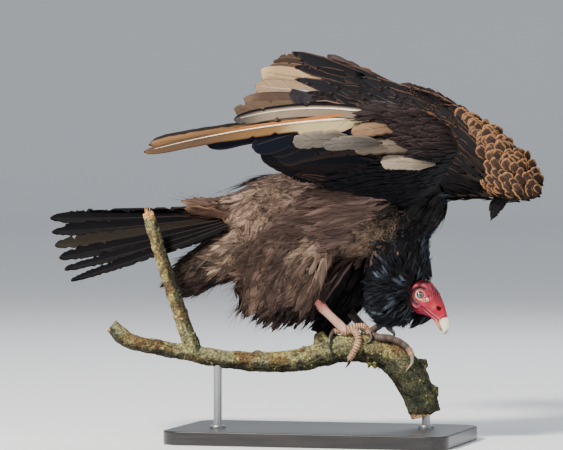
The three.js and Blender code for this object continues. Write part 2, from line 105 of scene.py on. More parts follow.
def curveAt(places, shares):  # a centripetal curve through the places, as the solids have
    places = np.asarray(places, float)
    last = len(places) - 1
    ends = np.vstack([2 * places[0] - places[1], places, 2 * places[-1] - places[-2]])
    where = np.clip(shares, 0, 1) * last
    index = np.minimum(where.astype(int), last - 1)
    part = (where - index)[..., None]
    before, start, end, after = (ends[index + k] for k in range(4))
    gapA, gapB, gapC = (np.maximum(np.sum((q - p) ** 2, axis=-1, keepdims=True) ** 0.25, 1e-9)
                        for p, q in ((before, start), (start, end), (end, after)))
    slopeA = ((start - before) / gapA - (end - before) / (gapA + gapB) + (end - start) / gapB) * gapB
    slopeB = ((end - start) / gapB - (after - start) / (gapB + gapC) + (after - end) / gapC) * gapB
    bend = 3 * (end - start) - 2 * slopeA - slopeB
    twist = 2 * (start - end) + slopeA + slopeB
    return start + slopeA * part + bend * part ** 2 + twist * part ** 3


# Meshes

def addObject(name, mesh, slot, replaced=(), *materials):
    piece = bpy.data.objects.new(name, mesh)
    bpy.context.scene.collection.objects.link(piece)
    for material in materials:
        mesh.materials.append(material)
    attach(piece, "root")
    if replaced:
        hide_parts(*replaced)
    return piece


def meshOf(shape, name, smooth=True):
    mesh = bpy.data.meshes.new(name)
    shape.to_mesh(mesh)
    shape.free()
    mesh.polygons.foreach_set("use_smooth", [smooth] * len(mesh.polygons))
    return mesh


def corners(mesh):
    places = np.empty(len(mesh.vertices) * 3)
    mesh.vertices.foreach_get("co", places)
    return places.reshape(-1, 3)


def cornerNormals(mesh):
    normals = np.empty(len(mesh.vertices) * 3)
    mesh.vertex_normals.foreach_get("vector", normals)
    return normals.reshape(-1, 3)


def moveCorners(mesh, places):
    mesh.vertices.foreach_set("co", np.ascontiguousarray(places, dtype=float).ravel())
    mesh.update()


def paint(mesh, name, values):  # a colour with alpha for each vertex
    values = np.asarray(values, float)
    if values.shape[1] == 3:
        values = np.hstack([values, np.ones((len(values), 1))])
    layer = mesh.color_attributes.new(name, "FLOAT_COLOR", "POINT")
    layer.data.foreach_set("color", values.ravel())


def sleeve(across, along, placeOf):  # a closed tube: placeOf(turn, length) takes arrays of 0 to 1
    shape = bmesh.new()
    bmesh.ops.create_grid(shape, x_segments=across, y_segments=along, size=0.5)
    flat = np.array([corner.co[:2] for corner in shape.verts]) + 0.5
    for corner, place in zip(shape.verts, placeOf(flat[:, 0] % 1, flat[:, 1])):
        corner.co = place
    bmesh.ops.remove_doubles(shape, verts=shape.verts, dist=1e-7)
    rims = [edge for edge in shape.edges if edge.is_boundary]
    bmesh.ops.holes_fill(shape, edges=rims, sides=0)
    bmesh.ops.recalc_face_normals(shape, faces=shape.faces)
    return shape


def limb(stations, sides, rows, relief=None, firstSide=(0, 1, 0)):
    # stations are [x, y, z, radius] or [x, y, z, half height, half width] in millimetres
    stations = np.asarray(stations, float)
    girth = stations[:, 3:] if stations.shape[1] > 4 else stations[:, [3, 3]]

    def placeOf(turn, length):
        middle = curveAt(stations[:, :3], length)
        ahead = unit(curveAt(stations[:, :3], length + 0.01) - curveAt(stations[:, :3], length - 0.01))
        side = unit(np.asarray(firstSide) - ahead * (ahead @ np.asarray(firstSide, float))[:, None])
        high = np.cross(side, ahead)
        angle = turn * 2 * math.pi
        size = curveAt(girth, length)
        if relief is not None:
            size = size * relief(angle, length)[:, None]
        return spots(middle + side * (np.cos(angle) * size[:, 1])[:, None]
                     + high * (np.sin(angle) * size[:, 0])[:, None])

    return sleeve(sides, rows, placeOf)


def joinShapes(shapes):
    whole = bmesh.new()
    for shape in shapes:
        part = bpy.data.meshes.new("part")
        shape.to_mesh(part)
        shape.free()
        whole.from_mesh(part)
        bpy.data.meshes.remove(part)
    return whole


def applied(mesh, *modifiers):  # the mesh that these modifiers leave
    holder = bpy.data.objects.new("holder", mesh)
    bpy.context.scene.collection.objects.link(holder)
    for kind, settings in modifiers:
        modifier = holder.modifiers.new(kind, kind)
        for key, value in settings.items():
            setattr(modifier, key, value)
    graph = bpy.context.evaluated_depsgraph_get()
    made = bpy.data.meshes.new_from_object(holder.evaluated_get(graph))
    bpy.data.objects.remove(holder)
    return made


def fused(name, shapes, voxel, passes):  # overlapping shapes as one smooth skin; voxel in millimetres
    return applied(meshOf(joinShapes(shapes), name),
                   ("REMESH", {"mode": "VOXEL", "voxel_size": voxel / 1000}),
                   ("SMOOTH", {"factor": 0.5, "iterations": passes}))


def spun(profile, steps, merged):  # a line of (radius, height) turned about the upright axis
    shape = bmesh.new()
    line = [shape.verts.new((radius, 0, height)) for radius, height in profile]
    edges = [shape.edges.new(pair) for pair in zip(line, line[1:])]
    bmesh.ops.spin(shape, geom=line + edges, cent=(0, 0, 0), axis=(0, 0, 1), angle=2 * math.pi, steps=steps,
                   use_merge=True)
    bmesh.ops.remove_doubles(shape, verts=shape.verts, dist=merged)
    bmesh.ops.recalc_face_normals(shape, faces=shape.faces)
    return shape


def surfaceOf(mesh):
    return BVHTree.FromPolygons(corners(mesh).tolist(), [tuple(face.vertices) for face in mesh.polygons])


# Materials

def node(tree, kind, inputs=(), **settings):
    made = tree.nodes.new(kind)
    for key, value in settings.items():
        setattr(made, key, value)
    for key, value in dict(inputs).items():
        if isinstance(value, bpy.types.NodeSocket):
            tree.links.new(value, made.inputs[key])
        else:
            made.inputs[key].default_value = value
    return made


def newMaterial(name, **shaderInputs):
    material = bpy.data.materials.new(name)
    material.use_nodes = True
    shader = material.node_tree.nodes["Principled BSDF"]
    for key, value in shaderInputs.items():
        shader.inputs[key.replace("_", " ")].default_value = value
    return material, material.node_tree


def drive(tree, **results):  # what each of these sockets of the shader follows
    for key, value in results.items():
        tree.links.new(value, tree.nodes["Principled BSDF"].inputs[key.replace("_", " ")])


def objectPlace(tree):
    return node(tree, "ShaderNodeTexCoord").outputs["Object"]


def stretchedNoise(tree, scale, detail):  # long grain: the scale is given along each axis
    where = node(tree, "ShaderNodeMapping", {"Vector": objectPlace(tree), "Scale": scale}).outputs["Vector"]
    return noiseOf(tree, where, 1.0, detail, 0.6)


def maths(tree, operation, *values, clamp=False):
    return node(tree, "ShaderNodeMath", dict(enumerate(values)), operation=operation,
                use_clamp=clamp).outputs[0]


def ramp(tree, value, start, end, low=0.0, high=1.0):
    span = {"Value": value, "From Min": start, "From Max": end, "To Min": low, "To Max": high}
    return node(tree, "ShaderNodeMapRange", span, interpolation_type="SMOOTHSTEP").outputs["Result"]


def blendColour(tree, share, first, second, kind="MIX"):
    made = tree.nodes.new("ShaderNodeMix")
    made.data_type = "RGBA"
    made.blend_type = kind
    for index, value in ((0, share), (6, first), (7, second)):
        if isinstance(value, bpy.types.NodeSocket):
            tree.links.new(value, made.inputs[index])
        elif index == 0:
            made.inputs[0].default_value = value
        else:
            made.inputs[index].default_value = (*value, 1)
    return made.outputs[2]


def noiseOf(tree, vector, scale, detail=3.0, roughness=0.55):
    inputs = {"Vector": vector, "Scale": scale, "Detail": detail, "Roughness": roughness}
    return node(tree, "ShaderNodeTexNoise", inputs).outputs["Fac"]


def bumpOf(tree, height, strength, distance):
    inputs = {"Height": height, "Strength": strength, "Distance": distance}
    return node(tree, "ShaderNodeBump", inputs).outputs["Normal"]


def paintedColour(tree, name):
    return node(tree, "ShaderNodeAttribute", attribute_name=name, attribute_type="GEOMETRY")


# Studio

studio = {
    "azimuth": 15, "elevation": 1.5, "distance": 6.0,  # of the camera
    "frameWidth": 0.816, "aim": (-26.8, 313),          # across and up, in millimetres
    "floorRadius": 12.0, "rimRadius": 15.0, "rimHeight": 5.0,
    "world": (0.86, 0.92, 1.0), "worldStrength": 0.6,
    "lamps": {  # azimuth from the camera's, elevation, distance, size, watts, colour
        "key": (-38, 40, 3.2, 0.6, 260, (1.0, 0.94, 0.86)),
        "fill": (55, 18, 3.5, 2.2, 14, (0.85, 0.92, 1.0)),
        "back": (165, 40, 3.4, 1.6, 60, (0.95, 0.97, 1.0)),
    },
}


def bearing(azimuth, elevation):
    turn, tilt = math.radians(azimuth), math.radians(elevation)
    return Vector((math.sin(turn) * math.cos(tilt), -math.cos(turn) * math.cos(tilt), math.sin(tilt)))


def setUpStudio(look):
    scene = bpy.context.scene
    turn = math.radians(look["azimuth"])
    across, high = (value / 1000 for value in look["aim"])
    aim = Vector(birdOrigin) + Vector((math.cos(turn), math.sin(turn), 0)) * across + Vector((0, 0, high))
    lens = bpy.data.cameras.new("camera")
    lens.lens = lens.sensor_width * look["distance"] / look["frameWidth"]
    lens.clip_end = 100
    camera = bpy.data.objects.new("camera", lens)
    back = bearing(look["azimuth"], look["elevation"])
    camera.location = aim + back * look["distance"]
    camera.rotation_euler = back.to_track_quat("Z", "Y").to_euler()
    scene.collection.objects.link(camera)
    scene.camera = camera

    profile = [(0, 0), (look["floorRadius"], 0)]  # a flat round that curls up at its rim
    steps = 10
    for step in range(1, steps + 1):
        angle = step / steps * math.pi / 2
        profile.append((look["floorRadius"] + (look["rimRadius"] - look["floorRadius"]) * math.sin(angle),
                        look["rimHeight"] * (1 - math.cos(angle))))
    floorMesh = meshOf(spun(profile, 96, 1e-5), "floor")
    floorMesh.materials.append(newMaterial("studioPaper", Base_Color=(0.74, 0.75, 0.76, 1), Roughness=0.9)[0])
    floorObject = bpy.data.objects.new("floor", floorMesh)
    scene.collection.objects.link(floorObject)

    world = bpy.data.worlds.new("studio")
    world.use_nodes = True
    sky = world.node_tree.nodes["Background"]
    sky.inputs["Color"].default_value = (*look["world"], 1)
    sky.inputs["Strength"].default_value = look["worldStrength"]
    scene.world = world
    for name, (azimuth, elevation, distance, size, watts, tint) in look["lamps"].items():
        lamp = bpy.data.lights.new(name, "AREA")
        lamp.shape = "DISK"
        lamp.size = size
        lamp.energy = watts
        lamp.color = tint
        holder = bpy.data.objects.new(name, lamp)
        toLamp = bearing(look["azimuth"] + azimuth, elevation)
        holder.location = aim + toLamp * distance
        holder.rotation_euler = toLamp.to_track_quat("Z", "Y").to_euler()
        scene.collection.objects.link(holder)


setUpStudio(studio)
print("studio ready")


# Perch

perch = {
    "turn": 15, "setBack": 22,  # degrees from the bird's axis, and how far to its right
    "branch": [  # along, height, radius
        (-273, 168, 10), (-246, 146, 11), (-203, 136, 11), (-146, 126, 12), (-94, 118, 13), (-43, 116, 14.5),
        (0, 119, 16), (37, 129, 18), (66, 136, 20), (102, 133, 20.5), (134, 122, 23), (157, 96, 25),
        (171, 71, 23), (182, 39, 22)],
    "stub": [(-151, 127, 12), (-168, 171, 10.5), (-188, 230, 10), (-206, 286, 9), (-219, 327, 8),
             (-220, 331, 7)],
    "knobs": [(33, 134, 12, -6, 24), (160, 108, 10, 24, 6), (176, 76, 12, 24, -3), (-60, 120, 8, -3, 12)],
    "voxel": 1.35, "furrow": 1.0, "lump": 1.1, "lichen": 0.9,
    "scar": (318, 330),  # heights between which the stub's bark gives way to torn wood
    "splinterFoot": (-219, 322), "splinterRing": 4.5, "splinterRadius": 2.2,
    "flakes": 230, "flakeSize": (0.9, 2.2), "splinters": 9,
}
perchTurn = math.radians(perch["turn"])
perchAlong = np.array([math.cos(perchTurn), math.sin(perchTurn), 0])
perchNear = np.array([math.sin(perchTurn), -math.cos(perchTurn), 0])


def onPerch(along, height, depth=0.0):
    along, height, depth = (np.asarray(value, float)[..., None] for value in (along, height, depth))
    return perchAlong * along + perchNear * (perch["setBack"] + depth) + up * height


branchSamples = curveAt(perch["branch"], np.linspace(0, 1, 401))


def hug(along, height, lift, side=1):  # a place that clasps the branch, seen at along and height
    distance = np.hypot(branchSamples[:, 0] - along, branchSamples[:, 1] - height)
    nearest = distance.argmin()
    reach = branchSamples[nearest, 2] + lift
    return onPerch(along, height, side * math.sqrt(max(0, reach ** 2 - distance[nearest] ** 2)))


def perchLimb(line, sides, rows):
    line = np.asarray(line, float)
    stations = np.hstack([onPerch(line[:, 0], line[:, 1]), line[:, 2:3]])
    return limb(stations, sides, rows, firstSide=perchNear)


def barkMaterial():
    material, tree = newMaterial("bark", Roughness=0.86, Specular_IOR_Level=0.25)
    place = objectPlace(tree)
    tone = paintedColour(tree, "Tint").outputs["Color"]
    speck = ramp(tree, noiseOf(tree, place, 900, 4, 0.7), 0.4, 0.62, 0.4, 1.5)
    patch = ramp(tree, noiseOf(tree, place, 330, 4, 0.6), 0.42, 0.6, 0.5, 1.35)
    shade = maths(tree, "MULTIPLY", speck, patch)
    drive(tree, Base_Color=blendColour(tree, 1.0, tone, shade, "MULTIPLY"),
          Normal=bumpOf(tree, noiseOf(tree, place, 520, 6, 0.7), 0.8, 0.0016))
    return material


def makePerch(look):
    lines = [(look["branch"], 44, 220), (look["stub"], 30, 90)]
    knobs = [[(along + outAlong * t, height + outUp * t, radius * share)
              for t, share in ((0, 1), (0.6, 0.9), (1, 0.55))]
             for along, height, radius, outAlong, outUp in look["knobs"]]
    shapes = [perchLimb(*line) for line in lines] + [perchLimb(knob, 24, 10) for knob in knobs]
    mesh = fused("perch", shapes, look["voxel"], 3)
    places = corners(mesh)
    normals = cornerNormals(mesh)
    local = inBird(places)
    flat = np.stack([local @ perchAlong, local[:, 2], local @ perchNear - look["setBack"]], axis=1)
    best = np.full(len(flat), far)
    stubStart = 900  # the stub's bark is read from here on, past the end of the branch's
    along, turn, radius = (np.zeros(len(flat)) for _ in range(3))
    for index, line in enumerate((look["branch"], look["stub"])):
        samples = curveAt(line, np.linspace(0, 1, 160))
        gaps = np.hypot(flat[:, None, 0] - samples[None, :, 0], flat[:, None, 1] - samples[None, :, 1])
        nearest = gaps.argmin(axis=1)
        distance = gaps.min(axis=1)
        outer = np.hypot(distance, flat[:, 2]) - samples[nearest, 2]
        tangent = unit(np.gradient(samples[:, :2], axis=0))[nearest]
        offset = flat[:, :2] - samples[nearest, :2]
        above = offset[:, 1] * tangent[:, 0] - offset[:, 0] * tangent[:, 1]
        steps = np.r_[0, np.cumsum(np.linalg.norm(np.diff(samples[:, :2], axis=0), axis=1))]
        closer = outer < best
        best = np.where(closer, outer, best)
        along = np.where(closer, steps[nearest] + stubStart * index, along)
        turn = np.where(closer, np.arctan2(above, flat[:, 2]), turn)
        radius = np.where(closer, samples[nearest, 2], radius)
    rind = np.stack([along / 3.2, np.cos(turn) * radius, np.sin(turn) * radius], axis=1)
    furrows = cloud(rind, 3.4, 1) + 0.6 * cloud(rind, 1.7, 2)
    lumps = cloud(local, 16, 3) + 0.5 * cloud(local, 7, 4)
    crust = ease(cloud(local, 9, 6) + 0.55 * cloud(local, 3.5, 7), 0.0, 0.5)
    leftCut = flat[:, 0] < look["branch"][0][0] - 2.0
    lowCut = (flat[:, 1] < look["branch"][-1][1] + 1.5) & (flat[:, 0] > 120)
    cut = leftCut | lowCut
    relief = look["furrow"] * np.minimum(furrows, 0.35) + look["lump"] * lumps
    relief += look["lichen"] * crust * (0.7 + 0.5 * cloud(local, 1.8, 8))
    relief = np.where(cut, 0, relief)
    moveCorners(mesh, places + normals * relief[:, None] / 1000)

    sunny = np.clip(0.55 + 0.45 * np.sin(turn), 0, 1)
    wood = colour(112, 88, 54) * (0.75 + 0.35 * cloud(local, 20, 9))[:, None]
    grey = colour(116, 114, 82)
    yellow = colour(158, 150, 92)
    green = colour(16, 26, 22)
    tone = towards(wood, grey, ease(cloud(local, 26, 12), -0.3, 0.5))
    tone = towards(tone, yellow, crust * (0.25 + 0.55 * sunny))
    # Darker towards the descending arm, and painted shade on the underside of the branch.
    lower = ease(flat[:, 0] + 0.5 * (122 - flat[:, 1]), 128, 160)
    under = ease(-np.sin(turn + 0.25 * cloud(local, 5, 14)), -0.1, 0.4)
    dark = np.clip(lower * 0.85 + under * 0.9, 0, 0.92) * (0.85 + 0.2 * cloud(local, 12, 13))
    tone = towards(tone, green, dark)
    # Painted shade deepens the furrows.
    tone = tone * (1 - 0.55 * ease(-furrows, 0.25, 0.9))[:, None]
    scar = ease(flat[:, 1], *look["scar"]) * (along > stubStart)
    tone = towards(tone, colour(206, 150, 96), scar)
    middle = np.where(leftCut[:, None], np.array(look["branch"][0][:2]), np.array(look["branch"][-1][:2]))
    reach = np.hypot(*(flat[:, :2] - middle).T) + np.abs(flat[:, 2])
    heart = colour(186, 148, 104) * (0.8 + 0.2 * np.sin(reach * 3.1))[:, None]
    tone = np.where(cut[:, None], heart, tone)
    paint(mesh, "Tint", tone)
    bark = barkMaterial()
    addObject("perchBark", mesh, "bark", ("perch_branch", "perch_stub"), bark)

    dice = np.random.default_rng(5)
    picks = dice.permutation(len(places))[: look["flakes"] * 5]
    picks = picks[(crust[picks] > 0.5) & ~cut[picks]][: look["flakes"]]
    underTuft = [hug(104 + 5 * math.cos(k), 112 + 1.6 * k % 7 - 4, 0, 1) for k in range(14)]
    spotsHere = np.vstack([places[picks] + normals[picks] * relief[picks][:, None] / 1000, spots(underTuft)])
    facing = np.vstack([normals[picks], np.tile(unit(perchNear - up), (len(underTuft), 1))])
    shape = bmesh.new()
    tones = []
    for index, (spot, outward) in enumerate(zip(spotsHere, facing)):
        size = dice.uniform(*look["flakeSize"]) / 1000 * (1.5 if index >= len(picks) else 1)
        before = len(shape.verts)
        turned = Vector(outward).to_track_quat("Z", "Y").to_matrix().to_4x4()
        wide, broad = (size * dice.uniform(0.7, 1.3) for _ in range(2))
        place = Matrix.Translation(spot) @ turned @ Matrix.Diagonal((wide, broad, size * 0.55, 1))
        made = bmesh.ops.create_icosphere(shape, subdivisions=1, radius=1.0, matrix=place)
        for corner in made["verts"]:
            corner.co = Vector(spot) + (corner.co - Vector(spot)) * dice.uniform(0.7, 1.2)
        tone = colour(120, 116, 70) if dice.random() < 0.62 else colour(98, 106, 90)
        if index >= len(picks):
            tone = colour(176, 172, 104)
        tones += [tone * dice.uniform(0.7, 1.15)] * (len(shape.verts) - before)
    flakes = meshOf(shape, "lichen")
    paint(flakes, "Tint", np.array(tones))
    addObject("lichen", flakes, "bark", (), bark)

    splinters = []
    for index in range(look["splinters"]):
        angle = index * 2.4
        side = look["splinterRing"] * math.sqrt(index / look["splinters"])
        footAlong, footHeight = look["splinterFoot"]
        foot = np.array([footAlong + side * math.cos(angle), footHeight, side * math.sin(angle)])
        tip = foot + (dice.uniform(-3, 1), dice.uniform(9, 17), dice.uniform(-1, 1))
        stations = [(*onPerch(*(foot + (tip - foot) * t)), look["splinterRadius"] * (1 - t) + 0.25)
                    for t in (0, 0.5, 1)]
        splinters.append(limb(stations, 5, 3))
    torn = meshOf(joinShapes(splinters), "splinters", False)
    paint(torn, "Tint", np.tile(colour(212, 158, 102), (len(torn.vertices), 1)))
    addObject("splinters", torn, "bark", (), bark)


makePerch(perch)
print("perch made")


# Display stand

stand = {"corner": 0.030, "edge": 0.0022, "collar": 0.0115, "collarHeight": 0.004}


def makeStand(look):
    low, high = (np.array(corner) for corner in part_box("stand_base"))
    shape = bmesh.new()
    place = Matrix.Translation((low + high) / 2) @ Matrix.Diagonal((*(high - low), 1))
    bmesh.ops.create_cube(shape, size=1, matrix=place)
    upright = [edge for edge in shape.edges if abs(edge.verts[0].co.z - edge.verts[1].co.z) > 1e-4]
    bmesh.ops.bevel(shape, geom=upright, offset=look["corner"], offset_type="OFFSET", segments=12,
                    profile=0.5,
                    affect="EDGES", material=-1, clamp_overlap=True)
    rims = [edge for edge in shape.edges if abs(edge.verts[0].co.z - edge.verts[1].co.z) < 1e-6
            and len(edge.link_faces) == 2
            and abs(edge.link_faces[0].normal.z - edge.link_faces[1].normal.z) > 0.5]
    bmesh.ops.bevel(shape, geom=rims, offset=look["edge"], offset_type="OFFSET", segments=4, profile=0.5,
                    affect="EDGES", material=-1, clamp_overlap=True)
    lacquer, tree = newMaterial("blackLacquer", Roughness=0.32, Coat_Weight=0.25, Coat_Roughness=0.15)
    grain = stretchedNoise(tree, (14, 240, 240), 5)
    tone = blendColour(tree, ramp(tree, grain, 0.35, 0.7), colour(26, 25, 26), colour(44, 41, 40))
    drive(tree, Base_Color=tone, Normal=bumpOf(tree, grain, 0.12, 0.0006))
    mesh = meshOf(shape, "standBase", False)
    addObject("standBase", mesh, "stand_lacquer", ("stand_base",), lacquer)

    steel, tree = newMaterial("brushedSteel", Metallic=1.0)
    scratch = stretchedNoise(tree, (2600, 2600, 30), 3)
    drive(tree, Base_Color=blendColour(tree, scratch, colour(150, 151, 153), colour(196, 197, 199)),
          Roughness=ramp(tree, scratch, 0.3, 0.7, 0.24, 0.42), Normal=bumpOf(tree, scratch, 0.1, 0.0002))
    for index in (1, 2):
        rodLow, rodHigh = (np.array(corner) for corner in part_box(f"stand_rod_{index}"))
        middle = (rodLow + rodHigh) / 2
        radius = (rodHigh - rodLow)[1] / 2
        bottom = high[2]
        profile = [(0, bottom), (look["collar"], bottom),
                   (look["collar"], bottom + look["collarHeight"] * 0.7),
                   (look["collar"] * 0.93, bottom + look["collarHeight"]),
                   (radius * 1.02, bottom + look["collarHeight"]),
                   (radius, bottom + look["collarHeight"] * 1.25), (radius, rodHigh[2] + 0.001),
                   (0, rodHigh[2] + 0.001)]
        rod = spun(profile, 48, 1e-6)
        bmesh.ops.translate(rod, verts=rod.verts, vec=(middle[0], middle[1], 0))
        sharp = [edge for edge in rod.edges if edge.calc_face_angle(0) > 0.5]
        bmesh.ops.split_edges(rod, edges=sharp)
        addObject(f"standRod{index}", meshOf(rod, "rod"), "stand_steel", (f"stand_rod_{index}",), steel)


makeStand(stand)
print("stand made")


# Head

head = {
    "place": (179, 0, 214), "pitch": 50, "yaw": 13,
    "profile": [  # ahead of the eye, crown, throat, half width
        (-18.2, 5, -1, 4), (-16, 13, -7, 9.5), (-10, 20.5, -15, 14.5), (-2, 23.5, -21.8, 17),
        (7, 23.6, -24.2, 17.4), (16, 22.4, -21.5, 16), (26, 19.6, -14.8, 12.4), (36, 16, -10, 8.6),
        (45.2, 11.8, -7.9, 6.9)],
    "around": 210, "along": 170,
    "eyeApart": 10.6, "eyeRadius": 7.5, "opening": 4.3, "lidShape": (1.06, 0.96),
    # the fold behind the eye: its radius at the crown, and how much wider below
    "crease": 11.2, "creaseDrop": 3.2,
    "nostril": (32.6, 8.2), "nostrilSize": (4.6, 2.7), "nostrilDepth": 4.6,
    "mouth": [(13, -9.5), (18, -8.2), (30, -6.2), (45.4, -3.2)],
    "warts": [(10.4, 3.4, 1.5), (12.4, 1.5, 1.2), (8.6, 0.2, 1.1), (13.2, 4.6, 1.1), (7.2, -2.6, 1.0),
              (10.6, -1.0, 1.0), (11.2, 6.0, 0.9), (5.2, -5.0, 0.9), (9.0, -4.0, 0.8)],
}
headYaw = Matrix.Rotation(math.radians(head["yaw"]), 3, "Z")
headTurn = np.array(headYaw @ Matrix.Rotation(math.radians(head["pitch"]), 3, "Y"))


def fromHead(local):  # [ahead, left, crown] in millimetres from the point midway between the eyes
    return spots(np.asarray(local, float) @ headTurn.T + np.array(head["place"]))


def distanceToLine(ahead, crown, line):
    best = np.full(ahead.shape, far)
    for (startA, startC), (endA, endC) in zip(line, line[1:]):
        run = np.array([endA - startA, endC - startC])
        share = np.clip(((ahead - startA) * run[0] + (crown - startC) * run[1]) / (run @ run), 0, 1)
        best = np.minimum(best, np.hypot(ahead - startA - run[0] * share, crown - startC - run[1] * share))
    return best


def lidDistance(ahead, crown):
    return np.hypot(ahead / head["lidShape"][0], crown / head["lidShape"][1])


def headFeatures(local):  # how strongly each feature of the face shows at each place
    ahead, left, crown = local.T
    side = np.abs(left)
    soft = cloud(local, 7, 5)
    grain = cloud(local, 2.0, 3)
    radius = np.hypot(ahead, crown) + 0.7 * soft
    turn = np.degrees(np.arctan2(crown, ahead)) % 360
    behind = ease(turn, 80, 112) * (1 - ease(turn, 292, 322)) * ease(side, 3, 9)
    crease = head["crease"] + head["creaseDrop"] * ease(turn, 140, 285)
    nostrilA, nostrilC = head["nostril"]
    slant = math.radians(16)
    offA, offC = ahead - nostrilA, crown - nostrilC
    alongN = offA * math.cos(slant) + offC * math.sin(slant)
    acrossN = offC * math.cos(slant) - offA * math.sin(slant)
    mouth = distanceToLine(ahead, crown, head["mouth"])
    warts = sum(size * bump(np.hypot(ahead - a, crown - c), size * 0.8) for a, c, size in head["warts"])
    return SimpleNamespace(
        soft=soft, grain=grain, turn=turn, behind=behind, lid=lidDistance(ahead, crown),
        crease=radius - crease, ring=radius,
        wrinkle=np.sin(2 * math.pi * (radius + 1.5 * cloud(local, 6, 11)) / 2.5),
        crownTop=ease(crown, 7, 15) * (1 - ease(ahead, 16, 31)),
        cheek=ease(-crown, 4, 11) * (1 - ease(ahead, 20, 36)),
        nostril=np.hypot(alongN / head["nostrilSize"][0], acrossN / head["nostrilSize"][1]), mouth=mouth,
        below=ease(crown - np.interp(ahead, *np.array(head["mouth"]).T), 0.5, -1.0),
        warts=warts * ease(side, 4, 9), onSide=ease(side, 4, 10))


def headRelief(local):
    ahead, _, crown = local.T
    part = headFeatures(local)
    rough = part.crownTop + part.cheek * 0.8
    relief = 0.95 * bump(part.lid - 6.1, 0.95) * part.onSide
    relief += (bump(part.lid - 8.6, 1.3) * ease(part.turn, 20, 60) * (1 - ease(part.turn, 150, 185))
               * part.onSide)
    relief -= 1.6 * bump(part.crease, 0.8) * part.behind
    relief += 1.25 * bump(part.crease - 3.5, 2.0) * part.behind
    relief -= 0.8 * bump(part.crease - 6.4, 0.7) * part.behind
    relief += (0.34 * part.wrinkle + 0.28 * part.grain) * rough
    relief += 0.10 * cloud(local, 0.95, 8) + 0.16 * part.grain
    relief += 0.85 * part.warts
    relief -= 1.1 * bump(part.mouth, 0.65) * (1 - ease(ahead, 44, 46))
    relief += 0.5 * bump(part.mouth - 1.9, 0.9) * (ahead > 12)
    relief -= head["nostrilDepth"] * (1 - ease(part.nostril, 0.6, 1.08)) * part.onSide
    relief += 0.45 * bump(part.nostril - 1.4, 0.28) * part.onSide
    relief += 0.55 * bump(ahead - 43.6, 1.1)
    fold = distanceToLine(ahead, crown, [(8.0, 9.4), (12.5, 8.0), (14.0, 5.2)])
    relief -= 0.9 * bump(fold, 0.7) * part.onSide
    return relief


def headTint(local):
    ahead, _, crown = local.T
    part = headFeatures(local)
    streak = cloud(local, 1.3, 21)
    pouch = ease(part.lid, 6.6, 8.2) * (1 - ease(part.crease, -1.2, 0.2)) * part.behind
    fine = np.clip(-np.sin(2 * math.pi * part.ring / 1.7 + 2 * part.grain), 0, 1)
    low = ease(part.turn, 150, 200) * (1 - ease(part.turn, 330, 355))
    tone = np.tile(colour(166, 8, 44), (len(local), 1))
    for target, share in (  # each laid over the ones before
            ((196, 44, 78), 0.35 + 0.6 * part.soft),
            ((178, 44, 76), 0.7 * part.cheek),
            ((200, 62, 92), 0.8 * part.below * ease(ahead, 14, 24)),
            ((178, 2, 34), 0.85 * ease(ahead, 16, 26) * (1 - part.below) * (0.7 + 0.5 * part.soft)),
            ((216, 92, 84), 0.6 * bump(np.hypot(ahead - 25, crown - 3), 4.5) * part.onSide),
            ((150, 60, 40), 0.5 * bump(np.hypot(ahead - 22, crown - 17), 6)
             + 0.5 * bump(np.hypot(ahead - 5, crown - 12), 4)),
            # The crown and cheek are darker, and darkest in the troughs of their wrinkles, which is painted
            # shade.
            ((52, 20, 34), part.crownTop * (0.66 + 0.45 * streak + 0.62 * np.clip(-part.wrinkle, -0.6, 1))),
            ((56, 18, 30), part.cheek * (0.15 + 0.85 * np.clip(-part.wrinkle + 0.8 * streak, 0, 1))),
            ((136, 64, 54), pouch * (0.8 + 0.3 * part.soft)),
            ((44, 18, 22), pouch * 1.1 * fine),
            ((214, 74, 92), 0.85 * bump(part.crease - 3.7, 1.9) * part.behind),
            # Painted shade in the fold behind the eye and in the groove beyond it.
            ((24, 10, 16), 1.6 * bump(part.crease, 1.8) * part.behind * (0.75 + 0.4 * part.grain)),
            ((44, 16, 26), 1.0 * bump(part.crease - 6.4, 1.0) * part.behind),
            ((212, 34, 58), 0.9 * bump(np.hypot(ahead - 6.5, crown - 4.5), 3.2)),
            ((236, 206, 168), (0.25 + 0.75 * low) * bump(part.lid - 6.1, 0.75) * part.onSide),
            ((34, 8, 14), bump(part.lid - 4.6, 0.5) * part.onSide),
            ((232, 214, 172), 1.1 * part.warts),
            ((30, 13, 17), 1.1 * bump(np.hypot(ahead - 9.2, crown - 8.2), 1.9) * part.onSide),
            ((34, 15, 18), 1.1 * bump(np.hypot(ahead - 10.6, crown - 0.9), 1.3) * part.onSide),
            ((238, 150, 150), 0.5 * bump(part.mouth - 1.9, 0.8) * ease(ahead, 16, 26)),
            # Painted shade in the gape and inside the nostril.
            ((96, 8, 22), 0.9 * bump(part.mouth, 0.75) * (ahead > 12)),
            ((14, 4, 6), (1 - ease(part.nostril, 0.75, 1.1)) * part.onSide),
    ):
        tone = towards(tone, colour(*target), share)
    return tone * (1 + 0.10 * part.grain)[:, None]


